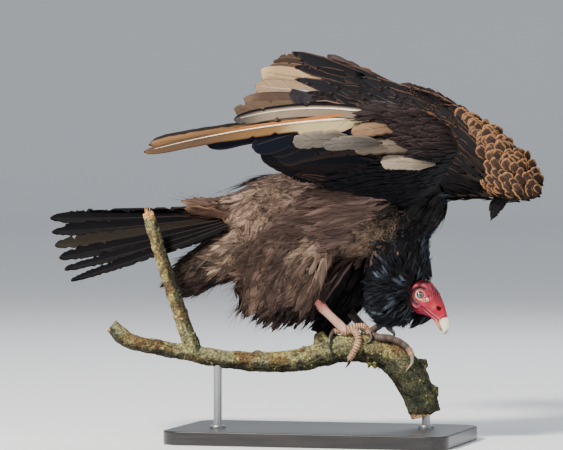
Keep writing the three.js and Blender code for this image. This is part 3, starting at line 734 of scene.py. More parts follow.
def makeHead():
    profile = np.asarray(head["profile"], float)
    stations = np.stack([profile[:, 0], (profile[:, 1] + profile[:, 2]) / 2,
                         (profile[:, 1] - profile[:, 2]) / 2,
                         profile[:, 3]], axis=1)

    def placeOf(turn, length):
        at = curveAt(stations, length)
        angle = turn * 2 * math.pi
        return np.stack([at[:, 0], np.cos(angle) * at[:, 3], at[:, 1] + np.sin(angle) * at[:, 2]], axis=1)

    mesh = meshOf(sleeve(head["around"], head["along"], placeOf), "head")
    local = corners(mesh)
    normals = cornerNormals(mesh)
    shaped = local + normals * headRelief(local)[:, None]
    lid = lidDistance(local[:, 0], local[:, 2])
    ball = np.sqrt(np.maximum(head["eyeRadius"] ** 2 - lid ** 2, 0)) + head["eyeApart"] - 1.3
    side = np.abs(shaped[:, 1])
    inside = (1 - ease(lid, head["opening"], head["opening"] + 0.75)) * (side > 8)
    shaped[:, 1] = np.sign(shaped[:, 1]) * (side + (np.minimum(ball, side) - side) * inside)
    moveCorners(mesh, fromHead(shaped))
    return mesh, headTint(local)


def eyeMaterial():
    material, tree = newMaterial("wetEye", Roughness=0.08, Coat_Weight=1.0, Coat_Roughness=0.02,
                                 Specular_IOR_Level=0.6)
    tone = paintedColour(tree, "Tint").outputs["Color"]
    fleck = ramp(tree, noiseOf(tree, objectPlace(tree), 2600, 3, 0.6), 0.3, 0.7, 0.8, 1.2)
    drive(tree, Base_Color=blendColour(tree, 1.0, tone, fleck, "MULTIPLY"))
    return material


def makeEyes():
    material = eyeMaterial()
    for name, side in (("right_eye", -1), ("left_eye", 1)):
        shape = bmesh.new()
        bmesh.ops.create_uvsphere(shape, u_segments=48, v_segments=32, radius=head["eyeRadius"])
        bmesh.ops.rotate(shape, verts=shape.verts, cent=(0, 0, 0),
                         matrix=Matrix.Rotation(math.pi / 2, 3, "X"))
        mesh = meshOf(shape, name)
        ball = corners(mesh)
        axis = unit(np.array([0.12, side, 0.0]))
        off = np.degrees(np.arccos(np.clip(unit(ball) @ axis, -1, 1)))
        bulge = 1 + 0.035 * bump(off, 24)
        local = ball * bulge[:, None] + (0, side * head["eyeApart"], 0)
        tone = np.tile(colour(30, 22, 20), (len(ball), 1))
        for target, share in (  # the iris, its dark ring and the pupil
                ((96, 102, 112), 1 - ease(off, 27, 33)), ((60, 56, 60), bump(off - 16, 4)),
                ((12, 12, 14), 1 - ease(off, 12, 15))):
            tone = towards(tone, colour(*target), share)
        paint(mesh, "Tint", tone)
        moveCorners(mesh, fromHead(local))
        addObject(name + "Ball", mesh, "eye", (name,), material)


bill = {  # ends of each section, ahead and crown above and then below, and its half width, in millimetres
    "upper": [(44.4, 11.3, 43.0, -4.0, 6.5), (49, 10.0, 47.3, -5.5, 6.0), (54, 8.7, 51.8, -6.8, 5.3),
              (58.5, 6.7, 55.8, -7.9, 4.6), (62.4, 3.4, 59.3, -8.9, 3.7), (65.2, -0.8, 62.2, -9.7, 2.7),
              (66.5, -4.9, 64.2, -10.5, 1.7), (66.7, -8.4, 65.4, -11.3, 0.9),
              (66.3, -11.3, 66.0, -11.8, 0.25)],
    "lower": [(43.4, -3.0, 42.8, -9.5, 5.7), (48, -4.6, 47.5, -10.1, 4.8), (53, -6.2, 52.6, -10.6, 3.9),
              (57, -7.6, 56.8, -10.7, 2.8), (60.4, -9.0, 60.2, -10.3, 1.2)],
}


def hornMaterial(name, roughness, fineness):
    material, tree = newMaterial(name, Roughness=roughness, Coat_Weight=0.3, Coat_Roughness=0.2)
    tone = paintedColour(tree, "Tint").outputs["Color"]
    streak = noiseOf(tree, objectPlace(tree), fineness, 4, 0.6)
    drive(tree, Base_Color=blendColour(tree, 1.0, tone, ramp(tree, streak, 0.3, 0.7, 0.84, 1.1), "MULTIPLY"),
          Normal=bumpOf(tree, streak, 0.25, 0.0004))
    return material


def makeBill():
    material = hornMaterial("ivoryHorn", 0.36, 700)
    for name, stations in bill.items():
        stations = np.asarray(stations, float)
        lower = name == "lower"

        def placeOf(turn, length):
            at = curveAt(stations, length)
            angle = turn * 2 * math.pi
            high = np.sin(angle)[:, None]
            wide = np.cos(angle) * at[:, 4] * (1 - 0.22 * np.clip(high[:, 0], 0, 1) * (not lower))
            middle = (at[:, :2] + at[:, 2:4]) / 2 + (at[:, :2] - at[:, 2:4]) / 2 * high
            return np.stack([middle[:, 0], wide, middle[:, 1]], axis=1)

        mesh = meshOf(sleeve(40, 60, placeOf), name)
        local = corners(mesh)
        ahead, _, crown = local.T
        grain = cloud(local * (0.4, 1, 1), 1.6, 4)
        tone = np.tile(colour(240, 230, 206) if not lower else colour(206, 140, 112), (len(local), 1))
        tip = ease(ahead, 61, 66.5) * ease(-crown, -3, 4) if not lower else ease(ahead, 52, 60)
        tone = towards(tone, colour(96, 62, 42), 0.8 * tip)
        edge = bump(crown - np.interp(ahead, [43, 60, 66], [-4.2, -9, -11.5]), 1.3) * (not lower)
        tone = towards(tone, colour(196, 136, 92), 0.6 * edge)
        tone *= (1 + 0.06 * grain)[:, None]
        boundary = 43.4 + 0.5 * (crown + 2.9) + 0.5 * cloud(local, 2.2, 4)
        tone = towards(tone, colour(176, 10, 40),
                       (1 - ease(ahead, boundary - 0.3, boundary + 0.3)) * (not lower))
        paint(mesh, "Tint", tone)
        moveCorners(mesh, fromHead(local + 0.08 * grain[:, None] * cornerNormals(mesh)))
        addObject(name + "BillHorn", mesh, "bill_horn", (name + "_bill",), material)


# Legs

legs = {
    "shanks": {
        "right": [(33, -40, 208, 8, 8), (42, -36, 196, 7.3, 6.6), (53, -29, 183, 6, 5.5),
                  (66, -19, 168, 6.6, 6),
                  (72, -16, 161, 6.4, 6)],
        "left": [(56, 39, 197, 8, 8), (66, 35, 186, 7.3, 6.6), (76, 31, 176, 6, 5.5), (92, 24, 161, 6.6, 6),
                 (98, 21, 155, 6.4, 6)]},
    "feet": {
        "right": {"base": (65, 161, 7, 1), "toes": [
            ([(56, 161, 7, 1), (48, 160, 8, 1)], [(43, 151, 6, 1), (42, 139, 4, 1), (46, 129, 2.2, 1)]),
            ([(69, 163, 8, -1), (70, 150, 5, -1), (65, 134, 5, -1)], [(61, 123, 5, -1), (57, 116, 5, -1)]),
            ([(81, 167, 13, 1), (93, 167, 14, 1), (100, 158, 6, 1)],
             [(103, 152, 5, 1), (99, 146, 3.5, 1), (93, 143, 2.4, 1)]),
            ([(78, 161, 8, 1), (84, 148, 5, 1), (78, 132, 5, 1), (71, 121, 5, 1)],
             [(70, 114, 6, 1), (65, 107, 12, 1)])]},
        "left": {"base": (101, 154, 7, -1), "toes": [
            ([(95, 155, 7, -1), (89, 153, 6, -1)],
             [(84, 147, 5, -1), (81, 138, 3.4, -1), (83, 129, 2.4, -1)]),
            ([(109, 164, 12, -1), (122, 170, 21, -1), (130, 164, 17, 1)],
             [(136, 156, 9, 1), (133, 147, 3, 1)]),
            ([(114, 152, 6, 1), (128, 151, 7, 1), (146, 144, 7, 1), (157, 134, 7, 1), (161, 126, 6, 1)],
             [(161, 116, 4, 1), (152, 104, 2.4, 1)]),
            ([(110, 150, 6, -1), (119, 138, 5, -1), (120, 123, 5, -1)],
             [(118, 112, 5, -1), (113, 103, 5, -1)])]}},
    "toeRadii": (5.6, 4.2), "clawRadii": (3.7, 0.35), "padRadius": 7.6,
    "scute": 3.3, "scuteDepth": 0.12, "joint": 13.0, "jointSwell": 0.10, "voxel": 0.68,
}


def makeLegs(look):  # returns one mesh of both bare legs, with its colours, and adds the claws
    shapes = []
    toes = []
    horn = hornMaterial("darkHorn", 0.4, 900)
    for side, foot in look["feet"].items():
        shank = np.asarray(look["shanks"][side], float)
        shapes.append(limb(shank, 40, 80, lambda angle, length: 1 + 0.012 * np.sin(length * 150)))
        pad = bmesh.new()
        bmesh.ops.create_uvsphere(pad, u_segments=32, v_segments=20, radius=look["padRadius"] / 1000)
        bmesh.ops.translate(pad, verts=pad.verts, vec=spots(hug(*foot["base"])))
        shapes.append(pad)
        for index, (path, claw) in enumerate(foot["toes"]):
            places = np.array([hug(*place) for place in [foot["base"], *path]])
            radii = np.linspace(*look["toeRadii"], len(places))
            run = np.linalg.norm(np.diff(places, axis=0), axis=1).sum()

            def scutes(angle, length, run=run):
                along = length * run
                ridge = np.abs(np.sin(math.pi * along / look["scute"])) ** 0.6 - 0.6
                swell = np.cos(2 * math.pi * along / look["joint"])
                below = 0.5 - 0.5 * np.sin(angle)
                return 1 + look["scuteDepth"] * ridge * (1 - 0.6 * below) + look["jointSwell"] * swell * below

            stations = np.hstack([places, radii[:, None]])
            shapes.append(limb(stations, 32, max(30, int(run * 2)), scutes, firstSide=perchAlong))
            toes.append((side, index, curveAt(stations, np.linspace(0, 1, 60)), run))
            nail = np.array([places[-1], *(hug(*place) for place in claw)])
            shares = np.linspace(0, 1, len(nail))
            nailRadii = look["clawRadii"][0] * (1 - shares) ** 0.75 + look["clawRadii"][1]
            nailStations = np.hstack([nail, nailRadii[:, None], nailRadii[:, None] * 0.78])
            shape = limb(nailStations, 20, 34, firstSide=perchAlong)
            mesh = meshOf(shape, f"{side}Claw{index + 1}")
            fromRoot = np.linalg.norm(corners(mesh) - spots(nail[0]), axis=1) * 1000
            share = fromRoot / np.linalg.norm(nail[-1] - nail[0])
            pale = side == "left" and index == 2
            shaft = colour(150, 134, 116) if pale else colour(46, 40, 38)
            tone = towards(shaft, colour(96, 84, 74), 0.5 * bump(share - 0.25, 0.2))
            paint(mesh, "Tint", tone)
            addObject(f"{side}Claw{index + 1}", mesh, "claw_horn", (f"{side}_claw_{index + 1}",), horn)
    mesh = fused("legs", shapes, look["voxel"], 2)
    local = inBird(corners(mesh))

    def gapsTo(line):
        return np.linalg.norm(local[:, None] - line[None, :, :3], axis=2)

    toeDistance = np.full(len(local), far)
    left, ridge, pale = (np.zeros(len(local)) for _ in range(3))
    for side, index, line, run in toes:
        gaps = gapsTo(line)
        closer = gaps.min(axis=1) < toeDistance
        along = gaps.argmin(axis=1) / (len(line) - 1) * run
        toeDistance = np.where(closer, gaps.min(axis=1), toeDistance)
        ridge = np.where(closer, np.abs(np.sin(math.pi * along / look["scute"])), ridge)
        pale = np.where(closer, float(side == "left" and index == 2) * ease(along / run, 0.7, 0.88), pale)
        left = np.where(closer, float(side == "left"), left)
    shankGaps = [gapsTo(curveAt(shank, np.linspace(0, 1, 30))).min(axis=1)
                 for shank in look["shanks"].values()]
    left = np.where(np.minimum(*shankGaps) < toeDistance, shankGaps[1] < shankGaps[0], left)
    onToe = 1 - ease(toeDistance, 6.5, 9.5)
    grain = cloud(local, 5, 2)
    shankTone = towards(colour(222, 176, 154), colour(206, 118, 108), ease(local[:, 2], 184, 202))
    toeTone = towards(colour(84, 56, 40), colour(212, 168, 130), ease(ridge, 0.4, 0.98) * 0.85)
    # Painted shade: the far (left) leg and its toes are darker, all but the pale end of its third toe.
    farLegShade = towards(colour(52, 42, 38), colour(92, 76, 66), ease(ridge, 0.3, 0.9))
    tone = towards(towards(shankTone, toeTone, onToe), farLegShade, left * (1 - pale))
    return mesh, tone * (1 + 0.12 * grain)[:, None]


# Skin: one piece for all the flesh. Under the coat it is a plain dark body, as deep below the
# solids as the coat is thick; the head and the legs are bare.

skin = {
    "coated": {  # how deep the coat is, in millimetres
        "trunk": 7, "neck": 8, "right_thigh": 7, "left_thigh": 7, "tail_coverts_upper": 3,
        "tail_coverts_lower": 6, "right_upper_arm": 2.5, "right_forearm": 2.5, "right_hand": 2.2,
        "left_upper_arm": 2.5, "left_forearm": 2.5, "left_hand": 2.2},
    "bare": ["head", "right_shank", "left_shank", "right_foot", "left_foot"],
    "grow": 0.3, "voxel": 3.0, "thinnest": 0.42, "kept": 0.16,
}


def closedCopy(name, grow=0.0):
    shape = bmesh.new()
    shape.from_mesh(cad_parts[name].data)
    bmesh.ops.remove_doubles(shape, verts=shape.verts, dist=1e-6)
    shape.normal_update()
    for corner, normal in [(corner, corner.normal.copy()) for corner in shape.verts]:
        corner.co += normal * grow / 1000
    return shape


def makeCoatForm(look):  # the outside of the coat, as one surface, and the node that each face belongs to
    form = fused("coatForm", [closedCopy(name, look["grow"]) for name in look["coated"]], look["voxel"], 5)
    trees = [surfaceOf(meshOf(closedCopy(name), name)) for name in look["coated"]]
    centres = np.empty(len(form.polygons) * 3)
    form.polygons.foreach_get("center", centres)
    centres = centres.reshape(-1, 3)
    owner = np.zeros(len(centres), int)
    nearest = np.full(len(centres), far)
    for index, tree in enumerate(trees):
        reach = np.array([tree.find_nearest(centre, 0.02)[3] or 1.0 for centre in centres.tolist()])
        owner = np.where(reach < nearest, index, owner)
        nearest = np.minimum(reach, nearest)
    return form, centres, owner


coatForm, coatCentres, coatOwner = makeCoatForm(skin)
coatTree = surfaceOf(coatForm)
print("coat form made", len(coatForm.polygons))


def bareSkinMaterial(name, roughness, scale, strength, distance):
    material, tree = newMaterial(name, Roughness=roughness, Specular_IOR_Level=0.45)
    tone = paintedColour(tree, "Tint").outputs["Color"]
    place = objectPlace(tree)
    pores = noiseOf(tree, place, scale * 1.7, 4, 0.6)
    cells = node(tree, "ShaderNodeTexVoronoi", {"Vector": place, "Scale": scale},
                 feature="DISTANCE_TO_EDGE").outputs["Distance"]
    height = maths(tree, "ADD", maths(tree, "MULTIPLY", pores, 0.5), ramp(tree, cells, 0.0, 0.25))
    drive(tree, Base_Color=blendColour(tree, 1.0, tone, ramp(tree, height, 0.2, 1.2, 0.72, 1.12), "MULTIPLY"),
          Normal=bumpOf(tree, height, strength, distance))
    return material


def makeSkin(look):
    depths = np.array(list(look["coated"].values()), float)
    under = coatForm.copy()
    places = corners(under)
    normals = cornerNormals(under)
    total, count = np.zeros((2, len(places)))
    corner = np.empty(len(under.loops), int)
    under.loops.foreach_get("vertex_index", corner)
    sides = np.empty(len(under.polygons), int)
    under.polygons.foreach_get("loop_total", sides)
    np.add.at(total, corner, np.repeat(depths[coatOwner], sides))
    np.add.at(count, corner, 1)
    depth = total / np.maximum(count, 1) / 1000
    inward = [coatTree.ray_cast(place, normal)[3] or 0.05
              for place, normal in zip((places - normals * 1e-4).tolist(), (-normals).tolist())]
    depth = np.minimum(depth, look["thinnest"] * np.array(inward))
    moveCorners(under, places - normals * depth[:, None])
    under = applied(under, ("DECIMATE", {"ratio": look["kept"]}))

    headMesh, headTone = makeHead()
    legMesh, legTone = makeLegs(legs)
    meshes = [under, headMesh, legMesh]
    tones = [np.tile(colour(30, 24, 22), (len(under.vertices), 1)), headTone, legTone]
    whole = bpy.data.meshes.new("skin")
    faces = []
    indices = []
    start = 0
    for index, mesh in enumerate(meshes):
        faces += [[start + vertex for vertex in face.vertices] for face in mesh.polygons]
        indices += [index] * len(mesh.polygons)
        start += len(mesh.vertices)
    whole.from_pydata(np.vstack([corners(mesh) for mesh in meshes]).tolist(), [], faces)
    whole.polygons.foreach_set("use_smooth", [True] * len(faces))
    paint(whole, "Tint", np.vstack(tones))
    down, tree = newMaterial("down", Roughness=0.95, Specular_IOR_Level=0.1)
    fibre = noiseOf(tree, objectPlace(tree), 420, 4, 0.6)
    drive(tree, Base_Color=blendColour(tree, fibre, colour(18, 14, 13), colour(46, 37, 33)),
          Normal=bumpOf(tree, fibre, 0.6, 0.002))
    addObject("skin", whole, "head_skin", (*look["coated"], *look["bare"]), down,
              bareSkinMaterial("bareHead", 0.5, 1050, 0.35, 0.0005),
              bareSkinMaterial("bareLeg", 0.55, 620, 0.4, 0.0005))
    whole.polygons.foreach_set("material_index", indices)


makeEyes()
makeBill()
makeSkin(skin)
print("skin, eyes, bill and claws made")


# Feathers. Each one is a thin closed vane round its shaft. Many are made together as arrays, and
# gathered in a coat: a dictionary of lists that becomes one or more joined meshes. Each corner has
# a tint and a rim colour, its place on the vane (0 to 1 across and along), and its place for baking.

def newCoat():
    return {**{key: [] for key in ("places", "quads", "threes", "tint", "rim", "vane", "bake", "ends")},
            "total": 0}


def gather(coat, places, quads, threes, tint, rim, vane, bake):  # many copies of one layout of corners
    count, size = places.shape[:2]
    starts = coat["total"] + np.arange(count)[:, None, None] * size
    coat["places"].append(places.reshape(-1, 3))
    coat["quads"].append((starts + quads).reshape(-1, 4))
    coat["threes"].append((starts + threes).reshape(-1, 3))
    for key, values in (("tint", tint), ("rim", rim), ("vane", vane), ("bake", bake)):
        deep = values.shape[-1]
        coat[key].append(np.broadcast_to(values, (count, size, deep)).reshape(-1, deep))
    coat["ends"].append(coat["total"] + np.arange(1, count + 1) * size)
    coat["total"] += count * size


def shaded(tint, shade):  # each feather's tint times a shade for each corner, with its alpha kept
    return tint[:, None, :] * np.concatenate([shade, np.ones_like(shade)], axis=-1)[:, :, [0, 0, 0, 1]]


def acrossOf(line, normal):  # the way across each feather, along its shaft
    return unit(np.cross(normal, np.gradient(line, axis=1)))


def tubeFaces(rows, around):  # the corners of a tube, ring by ring, and the faces between the rings
    grid = np.arange(rows * around).reshape(rows, around)
    turned = np.roll(grid, -1, axis=1)
    return grid, np.stack([grid[:-1], turned[:-1], turned[1:], grid[1:]], axis=-1).reshape(-1, 4)


def vaneLayout(rows, columns):  # faces of a flat pouch: the two sides share their rim
    top = np.arange((rows + 1) * (columns + 1)).reshape(rows + 1, columns + 1)
    under = top.copy()
    under[1:-1, 1:-1] = top.size + np.arange((rows - 1) * (columns - 1)).reshape(rows - 1, columns - 1)

    def quadsOf(grid):
        return np.stack([grid[:-1, :-1], grid[:-1, 1:], grid[1:, 1:], grid[1:, :-1]], axis=-1).reshape(-1, 4)

    return np.vstack([quadsOf(top), quadsOf(under)[:, ::-1]])


bakeSpread = 0.003  # how wide a small feather lies in the bake map


def addVanes(coat, line, side, normal, reach, look, tint, rim, bake, underTint=None):
    # line, side and normal are [feather, row, 3]; reach is [feather, row, 2], the half widths
    count, rows = line.shape[0], line.shape[1] - 1
    columns = look["columns"]
    across = np.linspace(-1, 1, columns + 1)
    shares = np.linspace(0, 1, rows + 1)
    width = np.where(across < 0, reach[..., :1], reach[..., 1:]) * np.abs(across)
    ahead = unit(np.gradient(line, axis=1))
    slide = width * look["slant"] * (1 - shares[:, None]) ** 0.7
    full = reach.max(axis=1, keepdims=True).mean(axis=-1, keepdims=True)
    rise = look["thickness"] / 2 * (1 - across ** 4)
    cup = -look["cup"] * full * across ** 2 + look.get("tilt", 0) * across * np.ones_like(width)
    middle = (line[:, :, None] + side[:, :, None] * (width * np.sign(across))[..., None]
              + ahead[:, :, None] * slide[..., None] + normal[:, :, None] * cup[..., None])
    top = middle + normal[:, :, None] * rise[:, None]
    under = (middle - normal[:, :, None] * rise[:, None])[:, 1:-1, 1:-1]
    places = np.concatenate([top.reshape(count, -1, 3), under.reshape(count, -1, 3)], axis=1)
    flat = np.stack(np.broadcast_arrays(across[None, :] / 2 + 0.5, shares[:, None]), axis=-1)
    vane = np.concatenate([flat.reshape(-1, 2), flat[1:-1, 1:-1].reshape(-1, 2)])[None]
    shade = (1 - look["rootShade"]) + look["rootShade"] * ease(vane[..., 1:], 0.1, 0.75)
    tone = shaded(tint, shade)
    if underTint is not None:
        topSize = (rows + 1) * (columns + 1)
        tone[:, topSize:] = shaded(underTint, shade)[:, topSize:]
    gather(coat, places, vaneLayout(rows, columns), np.zeros((0, 3), int), tone, rim[:, None, :], vane,
           bake[:, None, :] + (vane - 0.5) * bakeSpread)


def addStrands(coat, line, radius, look, tint, rim, bake):  # thin three-sided tapering barbs
    count, rows = line.shape[0], line.shape[1] - 1
    ahead = unit(np.gradient(line, axis=1))
    first = unit(np.cross(ahead, np.array([0.31, 0.83, 0.46])))
    second = np.cross(ahead, first)
    shares = np.linspace(0, 1, rows + 1)
    taper = radius[:, None] * (1 - shares ** 1.6 * 0.88) * (0.55 + 0.45 * ease(shares, 0, 0.25))
    rings = [line + (first * math.cos(angle) + second * math.sin(angle)) * taper[..., None]
             for angle in (0, 2.0944, 4.1888)]
    places = np.stack(rings, axis=2).reshape(count, -1, 3)
    grid, quads = tubeFaces(rows + 1, 3)
    threes = np.array([grid[0, ::-1], grid[-1]])
    vane = np.stack([np.full((rows + 1) * 3, 0.5), np.repeat(shares, 3)], axis=-1)[None]
    tone = shaded(tint, (1 - look["rootShade"]) + look["rootShade"] * vane[..., 1:])
    gather(coat, places, quads, threes, tone, rim[:, None, :], vane,
           bake[:, None, :] + (vane - 0.5) * bakeSpread)


def coatObjects(coat, name, slot, material, replaced=(), mostFaces=190000):
    places = np.vstack(coat["places"])
    quads = np.vstack(coat["quads"])
    threes = np.vstack(coat["threes"])
    parts = max(1, math.ceil((len(quads) * 2 + len(threes)) / mostFaces))
    ends = np.concatenate(coat["ends"])
    cuts = quads[(np.arange(1, parts) * len(quads) / parts).astype(int), 0]
    edges = [0, *ends[np.searchsorted(ends, cuts)], len(places)]
    for index, (start, end) in enumerate(zip(edges, edges[1:])):
        quadsHere = quads[(quads[:, 0] >= start) & (quads[:, 0] < end)] - start
        threesHere = threes[(threes[:, 0] >= start) & (threes[:, 0] < end)] - start
        mesh = bpy.data.meshes.new(f"{name}{index + 1}")
        order = np.concatenate([quadsHere.ravel(), threesHere.ravel()]).astype(np.int32)
        starts = np.concatenate([np.arange(len(quadsHere)) * 4,
                                 len(quadsHere) * 4 + np.arange(len(threesHere)) * 3])
        mesh.vertices.add(end - start)
        mesh.vertices.foreach_set("co", places[start:end].ravel())
        mesh.loops.add(len(order))
        mesh.loops.foreach_set("vertex_index", order)
        mesh.polygons.add(len(starts))
        mesh.polygons.foreach_set("loop_start", starts.astype(np.int32))
        mesh.update(calc_edges=True)
        mesh.polygons.foreach_set("use_smooth", [True] * len(starts))
        for key, layerName in (("bake", "OFBake"), ("vane", "Vane")):
            layer = mesh.uv_layers.new(name=layerName)
            layer.data.foreach_set("uv", np.vstack(coat[key])[start:end][order].ravel())
        for key in ("tint", "rim"):
            paint(mesh, key.capitalize(), np.vstack(coat[key])[start:end])
        addObject(f"{name}{index + 1}", mesh, slot, replaced, material)
    print(name, "triangles", len(quads) * 2 + len(threes))


def featherMaterial(name, look):
    material, tree = newMaterial(name, Roughness=look["roughness"], Specular_IOR_Level=look["gloss"])
    flat = node(tree, "ShaderNodeSeparateXYZ",
                {"Vector": node(tree, "ShaderNodeUVMap", uv_map="Vane").outputs["UV"]}).outputs
    tint = paintedColour(tree, "Tint").outputs
    rim = paintedColour(tree, "Rim").outputs
    out = maths(tree, "ABSOLUTE", maths(tree, "SUBTRACT", maths(tree, "MULTIPLY", flat["X"], 2.0), 1.0))
    barb = maths(tree, "SUBTRACT", flat["Y"], maths(tree, "MULTIPLY", out, look["barbSlant"]))
    where = node(tree, "ShaderNodeCombineXYZ", {
        "X": maths(tree, "MULTIPLY", barb, look["barbs"]),
        "Y": maths(tree, "MULTIPLY", flat["X"], look["acrossBarbs"]),
        "Z": maths(tree, "MULTIPLY", tint["Alpha"], 97.0)}).outputs["Vector"]
    streak = noiseOf(tree, where, 1.0, 3, 0.65)
    shaft = maths(tree, "SUBTRACT", 1.0, ramp(tree, out, look["shaftWidth"] * 0.4, look["shaftWidth"]))
    edge = ramp(tree, maths(tree, "ADD", out, maths(tree, "MULTIPLY", streak, look["rimNoise"])),
                1.06 - look["rimWidth"], 1.04)
    tip = ramp(tree, maths(tree, "ADD", flat["Y"], maths(tree, "MULTIPLY", streak, look["rimNoise"] * 0.5)),
               1.03 - look["rimTip"], 1.03)
    rimShare = maths(tree, "MULTIPLY", maths(tree, "MAXIMUM", edge, tip), rim["Alpha"], clamp=True)
    tone = blendColour(tree, 1.0, tint["Color"], ramp(tree, streak, 0.3, 0.7, look["dark"], look["light"]),
                       "MULTIPLY")
    tone = blendColour(tree, rimShare, tone, rim["Color"])
    tone = blendColour(tree, maths(tree, "MULTIPLY", shaft, look["shaftShow"]), tone, look["shaftTone"])
    height = maths(tree, "ADD", streak, maths(tree, "MULTIPLY", shaft, 0.8))
    drive(tree, Base_Color=tone, Normal=bumpOf(tree, height, look["bump"], 0.0007))
    return material


plumage = {  # the body's finish, and then what the others have of their own
    "body": {"roughness": 0.6, "gloss": 0.12, "barbSlant": 0.9, "barbs": 4.0, "acrossBarbs": 17.0,
             "bump": 0.3, "shaftWidth": 0.06, "shaftShow": 0.1, "shaftTone": colour(30, 22, 20),
             "rimWidth": 0.3, "rimTip": 0.2, "rimNoise": 0.12, "dark": 0.55, "light": 1.5},
    "scallop": {"barbSlant": 0.45, "barbs": 16.0, "acrossBarbs": 3.0, "shaftWidth": 0.09, "shaftShow": 0.5,
                "shaftTone": colour(30, 22, 18), "rimWidth": 0.26, "rimTip": 0.15, "rimNoise": 0.4,
                "dark": 0.35, "light": 1.6, "bump": 0.5},
    "covert": {"gloss": 0.08, "barbSlant": 0.3, "barbs": 30.0, "acrossBarbs": 3.0, "shaftWidth": 0.05,
               "shaftShow": 0.55, "shaftTone": colour(24, 18, 17), "rimWidth": 0.32, "rimTip": 0.04,
               "dark": 0.7, "light": 1.3},
    "flight": {"roughness": 0.55, "gloss": 0.04, "barbSlant": 0.09, "barbs": 190.0, "acrossBarbs": 1.2,
               "shaftWidth": 0.03, "shaftShow": 0.0, "shaftTone": colour(24, 18, 17), "rimWidth": 0.08,
               "rimTip": 0.018, "dark": 0.7, "light": 1.25, "bump": 0.22},
}
featherMaterials = {name: featherMaterial(name + "Feather", {**plumage["body"], **look})
                    for name, look in plumage.items()}


# The lie of the body feathers, and their sizes and colours region by region

bodyFeathers = {  # lengths in millimetres, stray in degrees
    "trunk": {"name": "backFeathers", "spacing": 8.6, "length": 58, "width": 10.0, "rise": 0.8, "stray": 7,
              "strands": 9},
    "neck": {"name": "ruffFeathers", "spacing": 4.6, "length": 18, "width": 2.0, "rise": 3.4, "stray": 14,
             "strands": 9},
    "right_thigh": {"name": "rightThighFeathers", "spacing": 8.4, "length": 60, "width": 9.5, "rise": 1.2,
                    "stray": 7, "strands": 11},
    "left_thigh": {"name": "leftThighFeathers", "spacing": 9.0, "length": 60, "width": 9.0, "rise": 1.0,
                   "stray": 7, "strands": 9},
    "tail_coverts_upper": {"name": "upperTailCoverts", "spacing": 8.0, "length": 58, "width": 8.5,
                           "rise": 0.8, "stray": 4, "strands": 4},
    "tail_coverts_lower": {"name": "lowerTailCoverts", "spacing": 6.8, "length": 50, "width": 5.6,
                           "rise": 1.4, "stray": 8, "strands": 9},
}
bodyVane = {"columns": 4, "rows": 5, "slant": 0.55, "thickness": 0.0003, "cup": 0.08, "rootShade": 0.2}


def onForm(places):  # the nearest places on the coat's form, with the way out there
    hits = [coatTree.find_nearest(place) for place in places.tolist()]
    return np.array([hit[0] for hit in hits]), np.array([hit[1] for hit in hits])


def bodyFlow(local, region):  # which way the coat lies at places in millimetres
    x, _, z = local.T

    def lieOf(back, rise):
        return unit(np.stack(np.broadcast_arrays(back, np.zeros(len(local)), rise), axis=-1))

    if region == "trunk":
        return lieOf(-1.0, -0.08 - 0.55 * ease(-z, -372, -300) - 0.35 * ease(x, 120, 200))
    if region == "neck":
        down = 1 - ease(z, 196, 262)
        outward = local - np.array(head["place"]) - (0, 0, 4)
        near = bump(np.maximum(np.linalg.norm(outward, axis=1) - 24, 0), 17)
        return unit(lieOf(-0.35 - 0.75 * down, 0.85 - 1.45 * down) + unit(outward) * (2.5 * near)[:, None])
    if "thigh" in region:
        return lieOf(-0.62, -0.8)
    return lieOf(-0.85, -0.5) if region == "tail_coverts_lower" else lieOf(-1.0, -0.05)


fluffSpots = [((142, -60, 316), 26), ((118, -66, 300), 24), ((90, -66, 288), 22), ((62, -62, 300), 18),
              ((-24, -40, 352), 24),
              ((-48, -34, 336), 20), ((-80, -34, 300), 15), ((-86, -30, 262), 12)]
darkSpots = [((-18, -62, 296), 16), ((38, -70, 318), 12), ((70, -66, 352), 24), ((10, -60, 232), 14)]


def nearness(local, placesAndSizes):  # 1 at the middle of a spot, 0 away from them all
    shows = sum(bump(np.linalg.norm(local - np.array(place), axis=1), size) for place, size in placesAndSizes)
    return np.clip(shows, 0, 1)


def bodyTone(local, region, dice):
    count = len(local)
    mottle = cloud(local, 34, 31)
    if region == "neck":
        # Painted sheen: soft blue-grey highlights over the black neck feathers, fewer higher up.
        light = ease(cloud(local, 12, 33) + 0.25 * dice.uniform(-1, 1, count), 0.0, 0.9)
        light = light * (1 - 0.6 * ease(local[:, 2], 262, 310))
        return towards(colour(16, 19, 25), colour(88, 98, 110), light)
    warm = colour(102, 83, 74) if region == "trunk" else colour(82, 65, 57)
    deep = colour(44, 33, 31)
    warmth = np.clip(0.58 + 0.9 * mottle + 0.34 * dice.uniform(-1, 1, count), 0, 1.25)
    tone = deep + (warm - deep) * warmth[:, None]
    # Painted shade takes the lower body, the breast and the whole far (left) thigh towards near black; the
    # places in darkSpots are darkened too.
    low = ease(-local[:, 2], -282, -256) * ease(local[:, 0], 34, 62) * (region != "right_thigh")
    dim = 0.5 * ease(-local[:, 2], -245, -190) + 0.95 * ease(local[:, 0], 146, 166)
    dim = dim + 0.6 * nearness(local, darkSpots)
    if region == "left_thigh":
        dim = dim + 0.6
    tone = towards(tone, colour(15, 14, 17), np.minimum(dim + 1.2 * low, 0.96))
    if region == "tail_coverts_lower":
        tone = tone * 0.42 + 0.004
    fluff = nearness(local, fluffSpots) * (1 - ease(local[:, 0], 148, 158))
    fluff = fluff * (0.55 + 0.45 * dice.uniform(-1, 1, count))
    return towards(tone, colour(170, 144, 122), np.minimum(fluff, 0.7))


